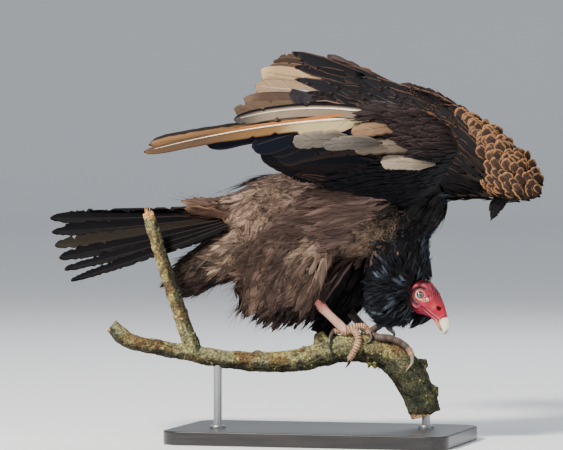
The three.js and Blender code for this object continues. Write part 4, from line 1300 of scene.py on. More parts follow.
def scatter(region, look, dice):  # roots spread evenly over one region of the form
    chosen = np.flatnonzero(coatOwner == list(skin["coated"]).index(region))
    areas = np.array([coatForm.polygons[index].area for index in chosen.tolist()])
    wanted = int(areas.sum() / (look["spacing"] / 1000) ** 2 * 3.2)
    picks = chosen[np.searchsorted(np.cumsum(areas) / areas.sum(), dice.random(wanted))]
    places = coatCentres[picks] + dice.uniform(-1, 1, (wanted, 3)) * 0.0012
    cell = look["spacing"] * 0.78 / 1000
    taken = {}
    kept = []
    for index, place in enumerate(places.tolist()):
        key = tuple(int(value // cell) for value in place)
        near = (taken.get((key[0] + i, key[1] + j, key[2] + k)) for i in (-1, 0, 1) for j in (-1, 0, 1)
                for k in (-1, 0, 1))
        if all(other is None or math.dist(other, place) > cell for other in near):
            taken[key] = place
            kept.append(index)
    return places[kept]


def bodyBake(local):  # a root's place on the body unrolled about its long axis
    turn = np.arctan2(local[:, 1], local[:, 2] - 290) / (2 * math.pi)
    return np.stack([0.03 + 0.94 * (turn % 1), 0.03 + 0.94 * np.clip((local[:, 0] + 190) / 430, 0, 1)],
                    axis=-1)


def clingAt(place, region):  # how closely a feather follows the form: the ends hang free
    x, _, z = inBird(place).T
    if "thigh" in region:
        return 0.82 - 0.7 * ease(-z, -236, -190)
    if region == "tail_coverts_lower":
        return 0.8 - 0.75 * ease(-x, 95, 150)
    if region == "neck":
        return 0.75 - 0.35 * ease(-z, -225, -185)
    return np.full(len(place), 0.85)


def walk(roots, region, length, rows, stray):  # lines over the form from the roots, down the coat
    place, normal = onForm(roots)
    line = [place]
    normals = [normal]
    for _ in range(rows):
        flow = bodyFlow(inBird(place), region)
        held = ease(clingAt(place, region), 0.1, 0.6)[:, None]
        flow = unit(flow - normal * np.sum(flow * normal, axis=1, keepdims=True) * held)
        flow = flow * np.cos(stray)[:, None] + np.cross(normal, flow) * np.sin(stray)[:, None]
        ahead = place + flow * (length / rows)[:, None]
        near, nearNormal = onForm(ahead)
        place = near + (ahead - near) * (1 - clingAt(ahead, region))[:, None]
        normal = unit(normal + nearNormal * 0.8)
        line.append(place)
        normals.append(normal)
    return np.stack(line, axis=1), np.stack(normals, axis=1)


def withAlpha(tone, alpha):
    return np.hstack([tone, np.broadcast_to(np.asarray(alpha, float), (len(tone),))[:, None]])


headSolid = surfaceOf(meshOf(closedCopy("head", 1.0), "headSolid"))


def clearOfHead(places):
    keep = []
    for place in places.reshape(-1, 3).tolist():
        near, normal, _, distance = headSolid.find_nearest(place)
        keep.append((Vector(place) - near).dot(normal) > 0 and distance > 0)
    return np.array(keep).reshape(places.shape[:-1])


def hairline(crown):  # how far ahead the feathers come on the head
    return -18 + 13 * ((crown - 2) / 22) ** 2


def overFace(places, inside=0):  # places beside the bare face, where no feather may lie
    local = (inBird(places) - np.array(head["place"])) @ headTurn
    ahead, left, crown = local[..., 0], local[..., 1], local[..., 2]
    top, bottom = (np.interp(ahead, *np.array(head["profile"])[:, [0, column]].T) for column in (1, 2))
    beside = (crown < top - 0.5) & (crown > bottom + 1.5) & (np.abs(left) < 30) & (np.abs(left) >= inside)
    return (ahead > hairline(crown)) & beside


def overShank(places):  # places that would hide the bare shanks
    local = inBird(places)
    hidden = np.zeros(local.shape[:-1], bool)
    for shank in legs["shanks"].values():
        for place in curveAt(shank, np.linspace(0.34, 1, 12)):
            hidden |= np.linalg.norm((local - place[:3]) * (1, 0.4, 1), axis=-1) < place[3] + 1.5
    return hidden


def addBarbs(coat, line, side, normal, reach, each, tone, seeds, bake, dice):  # loose barbs at a vane's edges
    count, rows = line.shape[0], line.shape[1] - 1
    for _ in range(each):
        start = dice.uniform(0.2, 0.85, count)
        row = np.minimum((start * rows).astype(int), rows - 1)
        pick = np.arange(count)
        out = dice.uniform(-0.9, 0.9, count)
        base = line[pick, row] + side[pick, row] * (reach[pick, row, 0] * out)[:, None]
        ahead = unit(line[pick, row + 1] - line[pick, row])
        run = np.linalg.norm(line[:, -1] - line[:, 0], axis=1) * dice.uniform(0.25, 0.62, count)
        turn = ahead + side[pick, row] * (out * dice.uniform(0.05, 0.45, count))[:, None]
        way = unit(turn + normal[pick, row] * dice.uniform(0.0, 0.1, count)[:, None])
        steps = np.linspace(0, 1, 3)
        bendWay = side[pick, row] * dice.normal(0, 0.12, count)[:, None] - normal[pick, row] * 0.08
        points = (base[:, None] + way[:, None] * (run[:, None] * steps)[..., None]
                  + bendWay[:, None] * (run[:, None] * steps ** 2)[..., None])
        radius = np.full(count, 0.00036) * dice.uniform(0.7, 1.3, count)
        addStrands(coat, points, radius, bodyVane,
                   withAlpha(tone * dice.uniform(0.5, 1.8, count)[:, None], seeds),
                   withAlpha(tone, 0.0), bake)


def makeBodyCoat():
    for number, (region, look) in enumerate(bodyFeathers.items()):
        dice = np.random.default_rng(100 + number)
        roots = scatter(region, look, dice)
        roots = roots[clearOfHead(roots)]
        roots = roots[np.argsort(roots[:, 0])]
        count = len(roots)
        local = inBird(roots)
        size = dice.uniform(0.74, 1.26, count)
        fluff = nearness(local, fluffSpots)
        if region == "neck":
            size = size * (0.75 + 0.35 * ease(-local[:, 2], -250, -190))
        if region == "right_thigh":
            size = size * (1 - 0.66 * ease(-local[:, 2], -250, -206))
        if region == "tail_coverts_lower":
            size = size * (1 - 0.4 * ease(-local[:, 0], 90, 150))
        length = look["length"] / 1000 * size
        stray = np.radians(look["stray"]) * (1 + 3 * fluff) * dice.normal(0, 1, count)
        rows = bodyVane["rows"]
        line, normal = walk(roots, region, length, rows, stray)
        shares = np.linspace(0, 1, rows + 1)
        rise = look["rise"] / 1000 * dice.uniform(0.4, 1.5, count) * (1 + 1.2 * fluff)
        line = line + normal * (-0.0022 + (rise + 0.0022)[:, None] * shares ** 1.25)[..., None]
        fair = np.ones(count, bool)
        if "thigh" in region:
            fair = ~overShank(line[:, 1:]).any(axis=1)
        if region == "neck":
            fair = clearOfHead(line[:, 2:]).all(axis=1) & ~overFace(line[:, 1:]).any(axis=1)
        line, normal, local, size, fluff = (values[fair] for values in (line, normal, local, size, fluff))
        count = len(line)
        side = acrossOf(line, normal)
        profile = np.sin(math.pi * np.clip(0.12 + 0.80 * shares ** 0.8, 0, 1)) ** 0.7
        profile[-1] = 0.12
        half = look["width"] / 1000 * size * dice.uniform(0.8, 1.2, count) * (1 - 0.35 * fluff)
        reach = half[:, None, None] * profile[None, :, None] * dice.uniform(0.72, 1.15, (count, rows + 1, 2))
        tone = bodyTone(local, region, dice)
        seeds = dice.random(count)
        # The neck feathers' blue-grey rims are painted sheen.
        rimTone = np.tile(colour(74, 84, 98), (count, 1)) if region == "neck" else tone * 1.35
        rim = withAlpha(rimTone, dice.uniform(0.0, 0.5, count) * (1 - 0.5 * (region == "neck")))
        bake = bodyBake(local)
        coat = newCoat()
        addVanes(coat, line, side, normal, reach, bodyVane, withAlpha(tone, seeds), rim, bake)
        addBarbs(coat, line, side, normal, reach, look["strands"], tone, seeds, bake, dice)
        slot = "ruff_feathers" if region == "neck" else "body_feathers"
        coatObjects(coat, look["name"], slot, featherMaterials["body"])
        print(region, "feathers", count)


makeBodyCoat()
print("body coat made")


# Fringes and wisps: tufts of long loose barbs that hang from the thighs, vent and ruff

tufts = {  # tips in millimetres, and the way from the roots to the tips
    "thighFringe": {"tips": [(-70, -48, 181), (-67, -46, 184), (-46, -46, 183), (-42, -44, 186),
                             (-21, -44, 171), (-17, -43, 174), (2, -42, 165), (6, -41, 168), (25, -40, 169),
                             (33, -40, 184), (-82, -46, 214), (-58, -47, 196), (-33, -45, 190),
                             (-8, -43, 184), (15, -41, 180)], "way": (-32, 0, -44), "spread": 6, "count": 16,
                    "locks": 4, "width": 2.6, "tone": colour(44, 34, 32)},
    "vent": {"tips": [(-184, -13, 252), (-172, -14, 229), (-169, -12, 226), (-177, -14, 209),
                      (-144, -14, 215), (-139, -12, 219), (-116, -16, 224), (-182, -8, 240)],
             "way": (-66, 0, -38), "spread": 7, "count": 20, "locks": 6, "width": 4.0,
             "tone": colour(40, 32, 32)},
    "ruff": {"tips": [(100, -20, 210), (110, 8, 196), (122, -16, 184), (140, 2, 170), (104, -14, 202),
                      (114, -18, 191), (132, -16, 175), (99, -22, 221), (104, -24, 236), (116, 16, 188),
                      (96, -22, 232), (112, -26, 252)], "way": (-27, 0, -13), "spread": 6, "count": 20,
             "locks": 6, "width": 2.4, "tone": colour(22, 26, 33)},
    "throat": {"tips": [(146, -10, 166), (148, 8, 168), (163, -8, 165), (160, 10, 167), (171, -6, 167),
                        (168, 8, 170), (180, -4, 173), (178, 6, 174), (187, -3, 180), (186, 4, 181)],
               "way": (-17, 0, -15), "spread": 4, "count": 16, "locks": 5, "width": 2.0,
               "tone": colour(16, 18, 24)},
    "chin": {"tips": [(178, 2, 170), (186, 3, 175), (170, 1, 167), (164, 0, 165), (174, 2, 176),
                      (181, 3, 179), (167, 1, 172), (165, 1, 179), (169, 2, 180), (161, 0, 177)],
             "way": (-10, -1, -10), "spread": 1.8, "count": 50, "locks": 9, "width": 1.2,
             "tone": colour(15, 17, 22)},
    "cuff": {"tips": [(33, -50, 203), (37, -49, 205), (41, -47, 207), (35, -50, 201), (29, -50, 203)],
             "way": (3, 0, -20), "spread": 2.5, "count": 30, "locks": 8, "width": 2.2,
             "tone": colour(74, 57, 49)},
    "nape": {"tips": [(226, -12, 358), (222, -10, 349), (218, -12, 341), (206, -10, 317), (203, -8, 308),
                      (199, -10, 298), (191, -8, 280), (194, -8, 270), (192, -6, 262)], "way": (22, 2, 6),
             "spread": 5, "count": 26, "locks": 2, "width": 1.8, "tone": colour(26, 36, 50)},
    "hindneck": {"tips": [(195, -4, 235), (192, -9, 239), (189, -13, 243), (195, 4, 236), (192, 9, 240),
                          (188, 13, 244), (186, -10, 240), (187, 0, 239), (181, -8, 240), (182, 4, 240),
                          (176, -10, 240), (191, 0, 237), (192, -4, 231), (195, -4, 232), (189, -7, 233),
                          (193, 0, 231), (187, -9, 234)], "way": (12, 0, -38), "spread": 4, "count": 16,
                 "locks": 7, "width": 2.2, "tone": colour(40, 42, 46)},
}


tuftOutline = np.array([0.5, 0.85, 1.0, 1.0, 0.85, 0.62, 0.36, 0.06])  # half widths from root to tip


def makeTufts(look):  # each tip gets `count` single barbs, and then `locks` flat locks
    dice = np.random.default_rng(77)
    coat = newCoat()
    stations = len(tuftOutline)
    for name, group in look.items():
        for thing in ("count", "locks"):
            tips = np.repeat(np.array(group["tips"], float), group[thing], axis=0)
            count = len(tips)
            way = np.array(group["way"], float)
            spread = dice.normal(0, 1, (count, 3)) * group["spread"] * (0.8, 0.7, 0.5)
            start = tips - way * dice.uniform(0.9, 1.9, count)[:, None] + spread
            end = tips - way * dice.uniform(0.0, 0.45, count)[:, None] ** 1.5 + spread * 0.22
            steps = np.linspace(0, 1, stations)
            bow = np.cross(unit(way), (0.0, 1.0, 0.0)) * dice.normal(0, 1.3, count)[:, None]
            bow = bow + (0, dice.normal(0, 1), 0)
            line = spots(start[:, None] + (end - start)[:, None] * steps[:, None]
                         + bow[:, None] * (4 * steps * (1 - steps))[:, None])
            tone = withAlpha(group["tone"] * dice.uniform(0.5, 1.7, count)[:, None], dice.random(count))
            bake = bodyBake(tips)
            hiding = overFace(line, 4 if name == "chin" else 0).any(axis=1) & (name != "hindneck")
            fair = ~(hiding | overShank(line).any(axis=1))
            line, tone, bake, count = line[fair], tone[fair], bake[fair], int(fair.sum())
            if thing == "count":
                addStrands(coat, line, dice.uniform(0.0004, 0.0008, count), bodyVane, tone,
                           tone * (1, 1, 1, 0), bake)
                continue
            normal = np.tile(unit(np.array([0.0, -1.0, 0.1])), (count, stations, 1))
            reach = group["width"] / 1000 * tuftOutline[None, :, None]
            reach = reach * dice.uniform(0.6, 1.3, (count, stations, 2))
            addVanes(coat, line, acrossOf(line, normal), normal, reach, bodyVane, tone, tone * (1, 1, 1, 0),
                     bake)
    coatObjects(coat, "looseBarbs", "body_feathers", featherMaterials["body"])


makeTufts(tufts)
print("fringes made")


# The collar: rows of short feathers that rise from the back of the head and hide where it joins the neck

collar = {
    "rows": (0.01, 0.03, 0.05, 0.08, 0.11, 0.14, 0.18, 0.22), "each": 56, "length": 19, "width": 2.1,
    "strands": 5,
    "outline": np.array([0.5, 0.85, 1.0, 0.95, 0.8, 0.5, 0.08]),
}


def makeCollar(look):
    dice = np.random.default_rng(31)
    coat = newCoat()
    profile = np.asarray(head["profile"], float)
    for row in look["rows"]:
        count = look["each"]
        turn = (np.arange(count) + dice.uniform(0, 1, count)) / count * 2 * math.pi
        crownward = np.sin(turn)
        length = np.clip(row + 0.05 * crownward - 0.02 + dice.uniform(-0.012, 0.012, count), 0.0, 0.3)
        at = curveAt(profile, length)
        local = np.stack([at[:, 0], np.cos(turn) * at[:, 3],
                          (at[:, 1] + at[:, 2]) / 2 + crownward * (at[:, 1] - at[:, 2]) / 2], axis=1)
        keep = local[:, 0] < hairline(local[:, 2]) - 0.5
        local, turn = local[keep], turn[keep]
        count = len(local)
        outward = np.stack([np.zeros(count), np.cos(turn), np.sin(turn)], axis=1)
        way = unit(outward * dice.uniform(0.35, 0.9, count)[:, None] + (-1, 0, 0)
                   + dice.normal(0, 0.14, (count, 3)))
        run = look["length"] * dice.uniform(0.6, 1.3, count)
        steps = np.linspace(0, 1, len(look["outline"]))
        line = local[:, None] - outward[:, None] * 1.5 + way[:, None] * (run[:, None] * steps)[..., None]
        line = line + np.array([-1.0, 0, 0]) * (run[:, None] * 0.25 * steps ** 2)[..., None]
        line = fromHead(line)
        normal = np.repeat(unit(outward @ headTurn.T + 1e-6)[:, None], len(steps), axis=1)
        side = acrossOf(line, normal)
        reach = look["width"] / 1000 * look["outline"][None, :, None]
        reach = reach * dice.uniform(0.7, 1.3, (count, len(steps), 2))
        spot = inBird(line[:, 0])
        tone = bodyTone(spot, "neck", dice)
        seeds = dice.random(count)
        bake = bodyBake(spot)
        addVanes(coat, line, side, normal, reach, bodyVane, withAlpha(tone, seeds),
                 withAlpha(tone * 1.5, 0.3), bake)
        addBarbs(coat, line, side, normal, reach, look["strands"], tone, seeds, bake, dice)
    coatObjects(coat, "collarFeathers", "ruff_feathers", featherMaterials["body"])


makeCollar(collar)


# Sweeps: the large soft feathers seen over the coat. Each group is spread between two lines, of
# roots and of tips, and "sides" says whether it is on the near side only (-1) or on both.

sweeps = {
    "shoulder": {"roots": ((152, -70, 374), (128, -72, 326)), "tips": ((34, -62, 368), (14, -66, 304)),
                 "count": 17, "half": (6, 9), "sag": 4, "lift": 2.6, "cling": 0.8,
                 "tone": colour(112, 90, 82), "sides": (-1, 1)},
    "flank": {"roots": ((118, -68, 322), (84, -66, 282)), "tips": ((-2, -62, 312), (-58, -52, 268)),
              "count": 15, "half": (8, 12), "sag": 9, "lift": 2.4, "cling": 0.8, "tone": colour(90, 72, 66),
              "sides": (-1, 1)},
    "thigh": {"roots": ((58, -60, 288), (22, -56, 258)), "tips": ((-86, -48, 244), (-62, -46, 206)),
              "count": 15, "half": (8, 12), "sag": 7, "lift": 3.2, "cling": 0.7, "tone": colour(80, 62, 54),
              "sides": (-1,)},
    "thighFront": {"roots": ((44, -58, 268), (30, -52, 240)), "tips": ((-30, -46, 204), (-8, -42, 190)),
                   "count": 9, "half": (6, 9), "sag": 4, "lift": 2.4, "cling": 0.6,
                   "tone": colour(66, 54, 50), "sides": (-1,)},
    "vent": {"roots": ((-84, -24, 288), (-84, -22, 256)), "tips": ((-188, -13, 256), (-146, -13, 214)),
             "count": 11, "half": (7, 10), "sag": 6, "lift": 2.0, "cling": 0.1, "tone": colour(34, 31, 34),
             "sides": (-1, 1)},
    "rump": {"roots": ((-82, -18, 350), (-86, -30, 330)), "tips": ((-162, -16, 345), (-160, -20, 338)),
             "count": 2, "half": (9, 10), "sag": -3, "lift": 3.0, "cling": 0.2, "tone": colour(84, 62, 52),
             "sides": (-1,), "rim": (130, 98, 66)},
    "backEdge": {"roots": ((-16, 6, 390), (-14, 10, 386)), "tips": ((-94, 8, 364), (-100, 11, 358)),
                 "count": 3, "half": (4, 5), "sag": 5, "lift": 2.0, "cling": 0.3, "tone": colour(26, 22, 22),
                 "sides": (-1,), "rim": (176, 132, 70)},
    "hem": {"roots": ((-46, -52, 246), (24, -50, 222)), "tips": ((-72, -47, 182), (30, -42, 178)),
            "count": 8, "half": (3.5, 5), "sag": -2, "lift": 2.0, "cling": 0.2, "tone": colour(40, 31, 30),
            "sides": (-1,)},
}


def makeSweeps(look):
    dice = np.random.default_rng(52)
    coat = newCoat()
    steps = np.linspace(0, 1, 15)
    vane = dict(bodyVane, columns=8, slant=0.8, cup=0.1)
    for group in look.values():
        for flip in group["sides"]:
            count = group["count"]
            shares = np.clip(np.linspace(0, 1, count) + dice.uniform(-0.06, 0.06, count), 0, 1)
            roots = curveAt(group["roots"], shares) + dice.normal(0, 1, (count, 3)) * (9, 1, 3)
            tips = curveAt(group["tips"], shares) + dice.normal(0, 1, (count, 3)) * (11, 1, 4)
            line = roots[:, None] + (tips - roots)[:, None] * steps[:, None]
            line = line + up * (group["sag"] * (4 * steps * (1 - steps)))[:, None]
            line = spots(line * (1, -flip, 1))
            near, normal = onForm(line.reshape(-1, 3))
            near, normal = near.reshape(line.shape), normal.reshape(line.shape)
            lift = (group["lift"] + dice.uniform(-0.8, 0.8, count))[:, None] / 1000 * (0.4 + steps)
            line = line + (near + normal * lift[..., None] - line) * group["cling"]
            for _ in range(2):
                line[:, 1:-1] = (line[:, :-2] + line[:, 1:-1] * 2 + line[:, 2:]) / 4
            normal = unit(normal.mean(axis=1, keepdims=True) + 0.5 * normal)
            side = acrossOf(line, normal)
            half = dice.uniform(*group["half"], count) / 1000
            end = np.clip((steps - 0.62) / 0.38, 0, 1) ** 2.2
            profile = ease(steps, -0.15, 0.4) * np.clip(1 - end, 0.04, 1) ** 0.75
            reach = half[:, None, None] * profile[:, None] * dice.uniform(0.8, 1.12, (count, len(steps), 2))
            tone = group["tone"] * dice.uniform(0.72, 1.2, count)[:, None]
            seeds = dice.random(count)
            bake = bodyBake(inBird(line[:, 0]))
            fair = ~overShank(line).any(axis=1)
            line, side, normal, reach, tone, seeds, bake = (
                values[fair] for values in (line, side, normal, reach, tone, seeds, bake))
            rim = np.tile(colour(*group["rim"]), (len(line), 1)) if "rim" in group else tone * 1.35
            addVanes(coat, line, side, normal, reach, vane, withAlpha(tone, seeds), withAlpha(rim, 0.5), bake)
            addBarbs(coat, line[:, ::2], side[:, ::2], normal[:, ::2], reach[:, ::2] * 1.1, 30, tone, seeds,
                     bake, dice)
    coatObjects(coat, "sweepFeathers", "body_feathers", featherMaterials["body"])


makeSweeps(sweeps)


# Fluff: short curled barbs where the coat is ruffled open

fluff = {"each": 22, "length": (4, 13), "radius": (0.00012, 0.00026), "pale": colour(206, 176, 150),
         "deep": colour(42, 32, 32)}


def makeFluff(look):
    dice = np.random.default_rng(64)
    coat = newCoat()
    steps = np.linspace(0, 1, 6)
    for place, size in fluffSpots:
        count = int(look["each"] * size)
        roots = np.array(place) + dice.normal(0, size * 0.5, (count, 3)) * (1, 0.4, 0.8)
        near, normal = onForm(spots(roots))
        lie = unit(bodyFlow(inBird(near), "trunk") + dice.normal(0, 0.75, (count, 3)))
        lie = unit(lie - normal * np.sum(lie * normal, axis=1, keepdims=True))
        turn = np.cross(normal, lie) * dice.normal(0, 0.5, count)[:, None]
        run = dice.uniform(*look["length"], count) / 1000
        bow = (steps ** 2)[None, :, None] * turn[:, None] - (steps ** 3)[None, :, None] * lie[:, None] * 0.35
        rise = (np.sin(math.pi * steps * 0.8) * 0.28)[None, :, None] * normal[:, None]
        line = near[:, None] + (lie[:, None] * steps[:, None] + bow + rise) * run[:, None, None]
        pale = 0.38 + 0.9 * cloud(roots, 8, 12) + 0.3 * dice.uniform(-1, 1, count)
        tone = withAlpha(towards(look["deep"], look["pale"], pale), dice.random(count))
        addStrands(coat, line, dice.uniform(*look["radius"], count), bodyVane, tone, tone * (1, 1, 1, 0),
                   bodyBake(inBird(near)))
    coatObjects(coat, "fluff", "body_feathers", featherMaterials["body"])


makeFluff(fluff)
print("sweeps and fluff made")


# Wings. A wing's body is a bowed sheet between its leading edge, from the shoulder round the wrist
# to the end of the hand, and the line where its coverts give way to the flight feathers. Places on
# it are given by how far along it they are and how far behind its leading edge, 0 to 1 each.

wings = {
    "right": {
        "outward": -1,
        "leading": [(186, -38, 345), (218, -78, 368), (250, -118, 396), (272, -156, 432), (244, -171, 469),
                    (178, -178, 480)],
        "trailing": [(92, -48, 362), (84, -90, 374), (106, -128, 400), (140, -158, 440), (148, -180, 473)],
        "primaryTips": [(-36, -226, 467), (-165, -235, 423), (-80, -215, 433), (-16, -206, 428),
                        (4, -201, 424), (12, -197, 422), (20, -193, 421), (28, -187, 421), (36, -180, 422),
                        (44, -172, 423)],
        "primaryBow": (11, 2),
        "secondaryTips": [(43, -150, 424), (-22, -136, 422), (18, -92, 386)],
        "lie": [((250, 440), (-0.96, 0.12)), ((225, 405), (-0.98, -0.08)), ((200, 460), (-0.98, 0.1)),
                ((262, 425), (-0.8, 0.5)), ((150, 470), (-0.99, 0.0)), ((120, 400), (-1, -0.05)),
                ((210, 365), (-0.9, 0.25)), ((240, 468), (-0.97, 0.1))],
    },
    "left": {
        "outward": 1,
        "leading": [(182, 38, 350), (262, 78, 354), (318, 98, 346), (340, 106, 358), (324, 112, 399),
                    (283, 120, 436), (240, 128, 465), (174, 135, 501)],
        "trailing": [(96, 48, 362), (76, 88, 422), (55, 108, 465), (44, 128, 505), (44, 140, 535)],
        "primaryTips": [(-98, 232, 559), (-106, 233, 553), (-112, 234, 545), (-124, 233, 539),
                        (-116, 228, 526), (-126, 216, 516), (-112, 210, 501), (-140, 205, 495),
                        (-154, 203, 480), (-92, 190, 462)],
        "primaryBow": (0, 0),
        "secondaryTips": [(-38, 165, 505), (-52, 146, 512), (-4, 112, 488)],
        "lie": [((270, 370), (-0.33, 0.94)), ((255, 420), (-0.7, 0.7)), ((210, 465), (-0.9, 0.45)),
                ((140, 500), (-0.97, 0.24)), ((60, 520), (-0.97, 0.25)), ((-50, 530), (-1, 0.15)),
                ((330, 360), (-0.5, 0.85)), ((300, 420), (-0.72, 0.7)), ((240, 365), (-0.75, 0.6)),
                ((180, 385), (-0.95, 0.3)), ((100, 400), (-1, 0.15))],
    },
}
wingThickness = (24, 9)  # at the leading edge and behind
wingBulge = 7


def wingPlace(wing, along, behind):
    along, behind = np.broadcast_arrays(np.asarray(along, float), np.asarray(behind, float))
    front = curveAt(wing["leading"], along)
    back = curveAt(wing["trailing"], along)
    place = front + (back - front) * behind[..., None]
    place[..., 1] += wing["outward"] * wingBulge * np.sin(math.pi * np.clip(behind, 0, 1))
    return place


def chordOf(wing, along):  # from the leading edge to the trailing one
    return wingPlace(wing, along, 1.0) - wingPlace(wing, along, 0.0)


def wingHalfDepth(behind):
    front, back = wingThickness
    nose = np.sqrt(np.clip(behind / 0.22, 0.04, 1))
    return (front + (back - front) * np.clip(behind, 0, 1)) * nose / 2


def wingOut(wing, along, behind):  # the way out of the wing's underside
    reach = 0.01
    alongWay = (wingPlace(wing, np.minimum(along + reach, 1), behind)
                - wingPlace(wing, np.maximum(along - reach, 0), behind))
    behindWay = wingPlace(wing, along, behind + reach) - wingPlace(wing, along, behind - reach)
    out = unit(np.cross(alongWay, behindWay))
    return out * np.sign(out[..., 1:2] * wing["outward"])


def wingLie(wing, place):  # the way that the coverts lie, from the nearest of the wing's known directions
    total = np.zeros(place.shape)
    for (x, z), (back, rise) in wing["lie"]:
        weight = 1 / ((place[..., 0] - x) ** 2 + (place[..., 2] - z) ** 2 + 200) ** 1.5
        total += weight[..., None] * unit(np.array([back, 0, rise]))
    return unit(total)


def flightShaft(wing, kind, share, u):  # a place on the sheet of flight feathers
    share, u = np.broadcast_arrays(np.asarray(share, float), np.asarray(u, float))
    lap = np.array([0, 4 * wing["outward"], 0])
    if kind == "primary":
        quill = wingPlace(wing, 1 - 0.36 * np.clip(share, 0, 1), 0.7) + lap
        tip = curveAt(wing["primaryTips"], share)
        bow = wing["primaryBow"][0] + (wing["primaryBow"][1] - wing["primaryBow"][0]) * share
    else:
        quill = wingPlace(wing, 0.66 - 0.56 * np.clip(share, 0, 1), 0.8) - lap
        tip = curveAt(wing["secondaryTips"], share)
        bow = 2.0 * np.ones_like(share)
    return quill + (tip - quill) * u[..., None] + up * (4 * u * (1 - u) * bow)[..., None]


# Flight feathers. A feather's reach is its half width on the outer and on the inner side of the
# shaft, and its notch the share of its length where the narrow part towards the tip starts.

flight = {
    "rows": 60, "columns": 12, "slant": 0.5, "thickness": 0.0006, "cup": 0.05, "rootShade": 0.2,
    "rachis": (0.0018, 0.0004), "splits": 6, "stack": 0.0013,
}


def featherReach(shares, outer, inner, notch, tipRound):  # tipRound: the share that its round tip takes
    rise = ease(shares, -0.02, 0.10) * 0.85 + 0.15
    end = np.sqrt(np.clip(1 - (np.clip(shares - 1 + tipRound, 0, 1) / tipRound) ** 2.4, 0.0, 1))
    outerStep = innerStep = 1
    if notch:
        outerStep = 1 - 0.35 * ease(shares, notch - 0.10, notch + 0.02)
        innerStep = 1 - 0.56 * ease(shares, notch - 0.015, notch + 0.035) + 0.16 * ease(shares, 0.66, 0.8)
    reach = np.stack([outer * rise * end * outerStep, inner * rise * end * innerStep], axis=-1)
    return np.maximum(reach, 0.35) / 1000


def addFlightFeather(coat, line, side, normal, reach, colours, tilt, dice, strip, ragged, fades=()):
    rows = len(line) - 1
    for _ in range(ragged):
        row = dice.integers(int(rows * 0.3), rows - 1)
        reach[row, dice.integers(0, 2)] *= dice.uniform(0.62, 0.9)
    look = dict(flight, tilt=tilt)
    top, under, rim = colours
    before = len(coat["places"])
    addVanes(coat, line[None], side[None], normal[None], reach[None], look,
             withAlpha(top[None], dice.random()),
             withAlpha(rim[None], dice.uniform(0.5, 1.0)), np.array([strip]),
             withAlpha(under[None], dice.random()))
    flat = coat["vane"][before]
    topSize = (rows + 1) * (flight["columns"] + 1)
    low = np.where(np.arange(len(flat)) < topSize, 0.0, 0.5)
    tint = coat["tint"][before].copy()
    for fadeTone, axis, start, end in fades:
        tint[:, :3] = towards(tint[:, :3], colour(*fadeTone), ease(flat[:, axis], start, end))
    coat["tint"][before] = tint
    coat["bake"][before] = np.stack([strip[0] + (flat[:, 0] * 0.44 + low) * strip[1],
                                     0.02 + 0.96 * flat[:, 1]], axis=-1)


def addRachis(coat, line, normal, radii, tone, strip):  # the shaft, as a six-sided tapering rod
    rows = len(line)
    shares = np.linspace(0, 1, rows)
    radius = radii[0] + (radii[1] - radii[0]) * shares
    ahead = unit(np.gradient(line, axis=0))
    across = np.cross(ahead, normal)
    rings = [line + (across * math.cos(angle) * 0.8 + normal * math.sin(angle)) * radius[:, None]
             for angle in np.arange(6) * math.pi / 3]
    places = np.stack(rings, axis=1).reshape(1, -1, 3)
    _, quads = tubeFaces(rows, 6)
    ends = np.array([[0, 5, 4], [0, 4, 3], [0, 3, 2], [0, 2, 1]])
    threes = np.vstack([ends, (ends + (rows - 1) * 6)[:, ::-1]])
    vane = np.stack([np.full(rows * 6, 0.5), np.repeat(shares, 6)], axis=-1)[None]
    bake = np.stack([np.full(rows * 6, strip[0] + 0.97 * strip[1]), np.repeat(0.02 + 0.96 * shares, 6)],
                    axis=-1)[None]
    tint = withAlpha(tone[None], 0.4)[:, None, :]
    gather(coat, places, quads, threes, tint, withAlpha(tone[None], 0.0)[:, None, :], vane, bake)


def shaftFrame(place, out):  # a shaft's line, side and normal; place(shift) is the line of a near neighbour
    line = place(0.0)
    ahead = unit(np.gradient(line, axis=0))
    side = place(0.04) - place(-0.04)
    side = side - ahead * np.sum(side * ahead, axis=1, keepdims=True)
    side = unit(unit(side) * 0.6 + unit(side[: len(side) // 2].mean(axis=0)) * 0.8)
    side = unit(side - ahead * np.sum(side * ahead, axis=1, keepdims=True))
    normal = np.cross(side, ahead)
    facing = np.sign(np.sum(normal.mean(axis=0) * out))
    return line, side, normal * facing


flightColours = {  # of the back, the underside and the rim
    # Painted shade: the near (right) wing's undersides are near black-blue.
    "right": {"primary": ((58, 45, 39), (22, 23, 29), (52, 45, 42)),
              "secondary": ((46, 36, 33), (12, 15, 23), (40, 34, 34))},
    "left": {"primary": ((84, 68, 56), (120, 112, 104), (198, 164, 128)),
             "secondary": ((38, 36, 40), (60, 58, 60), (66, 56, 50))},
}


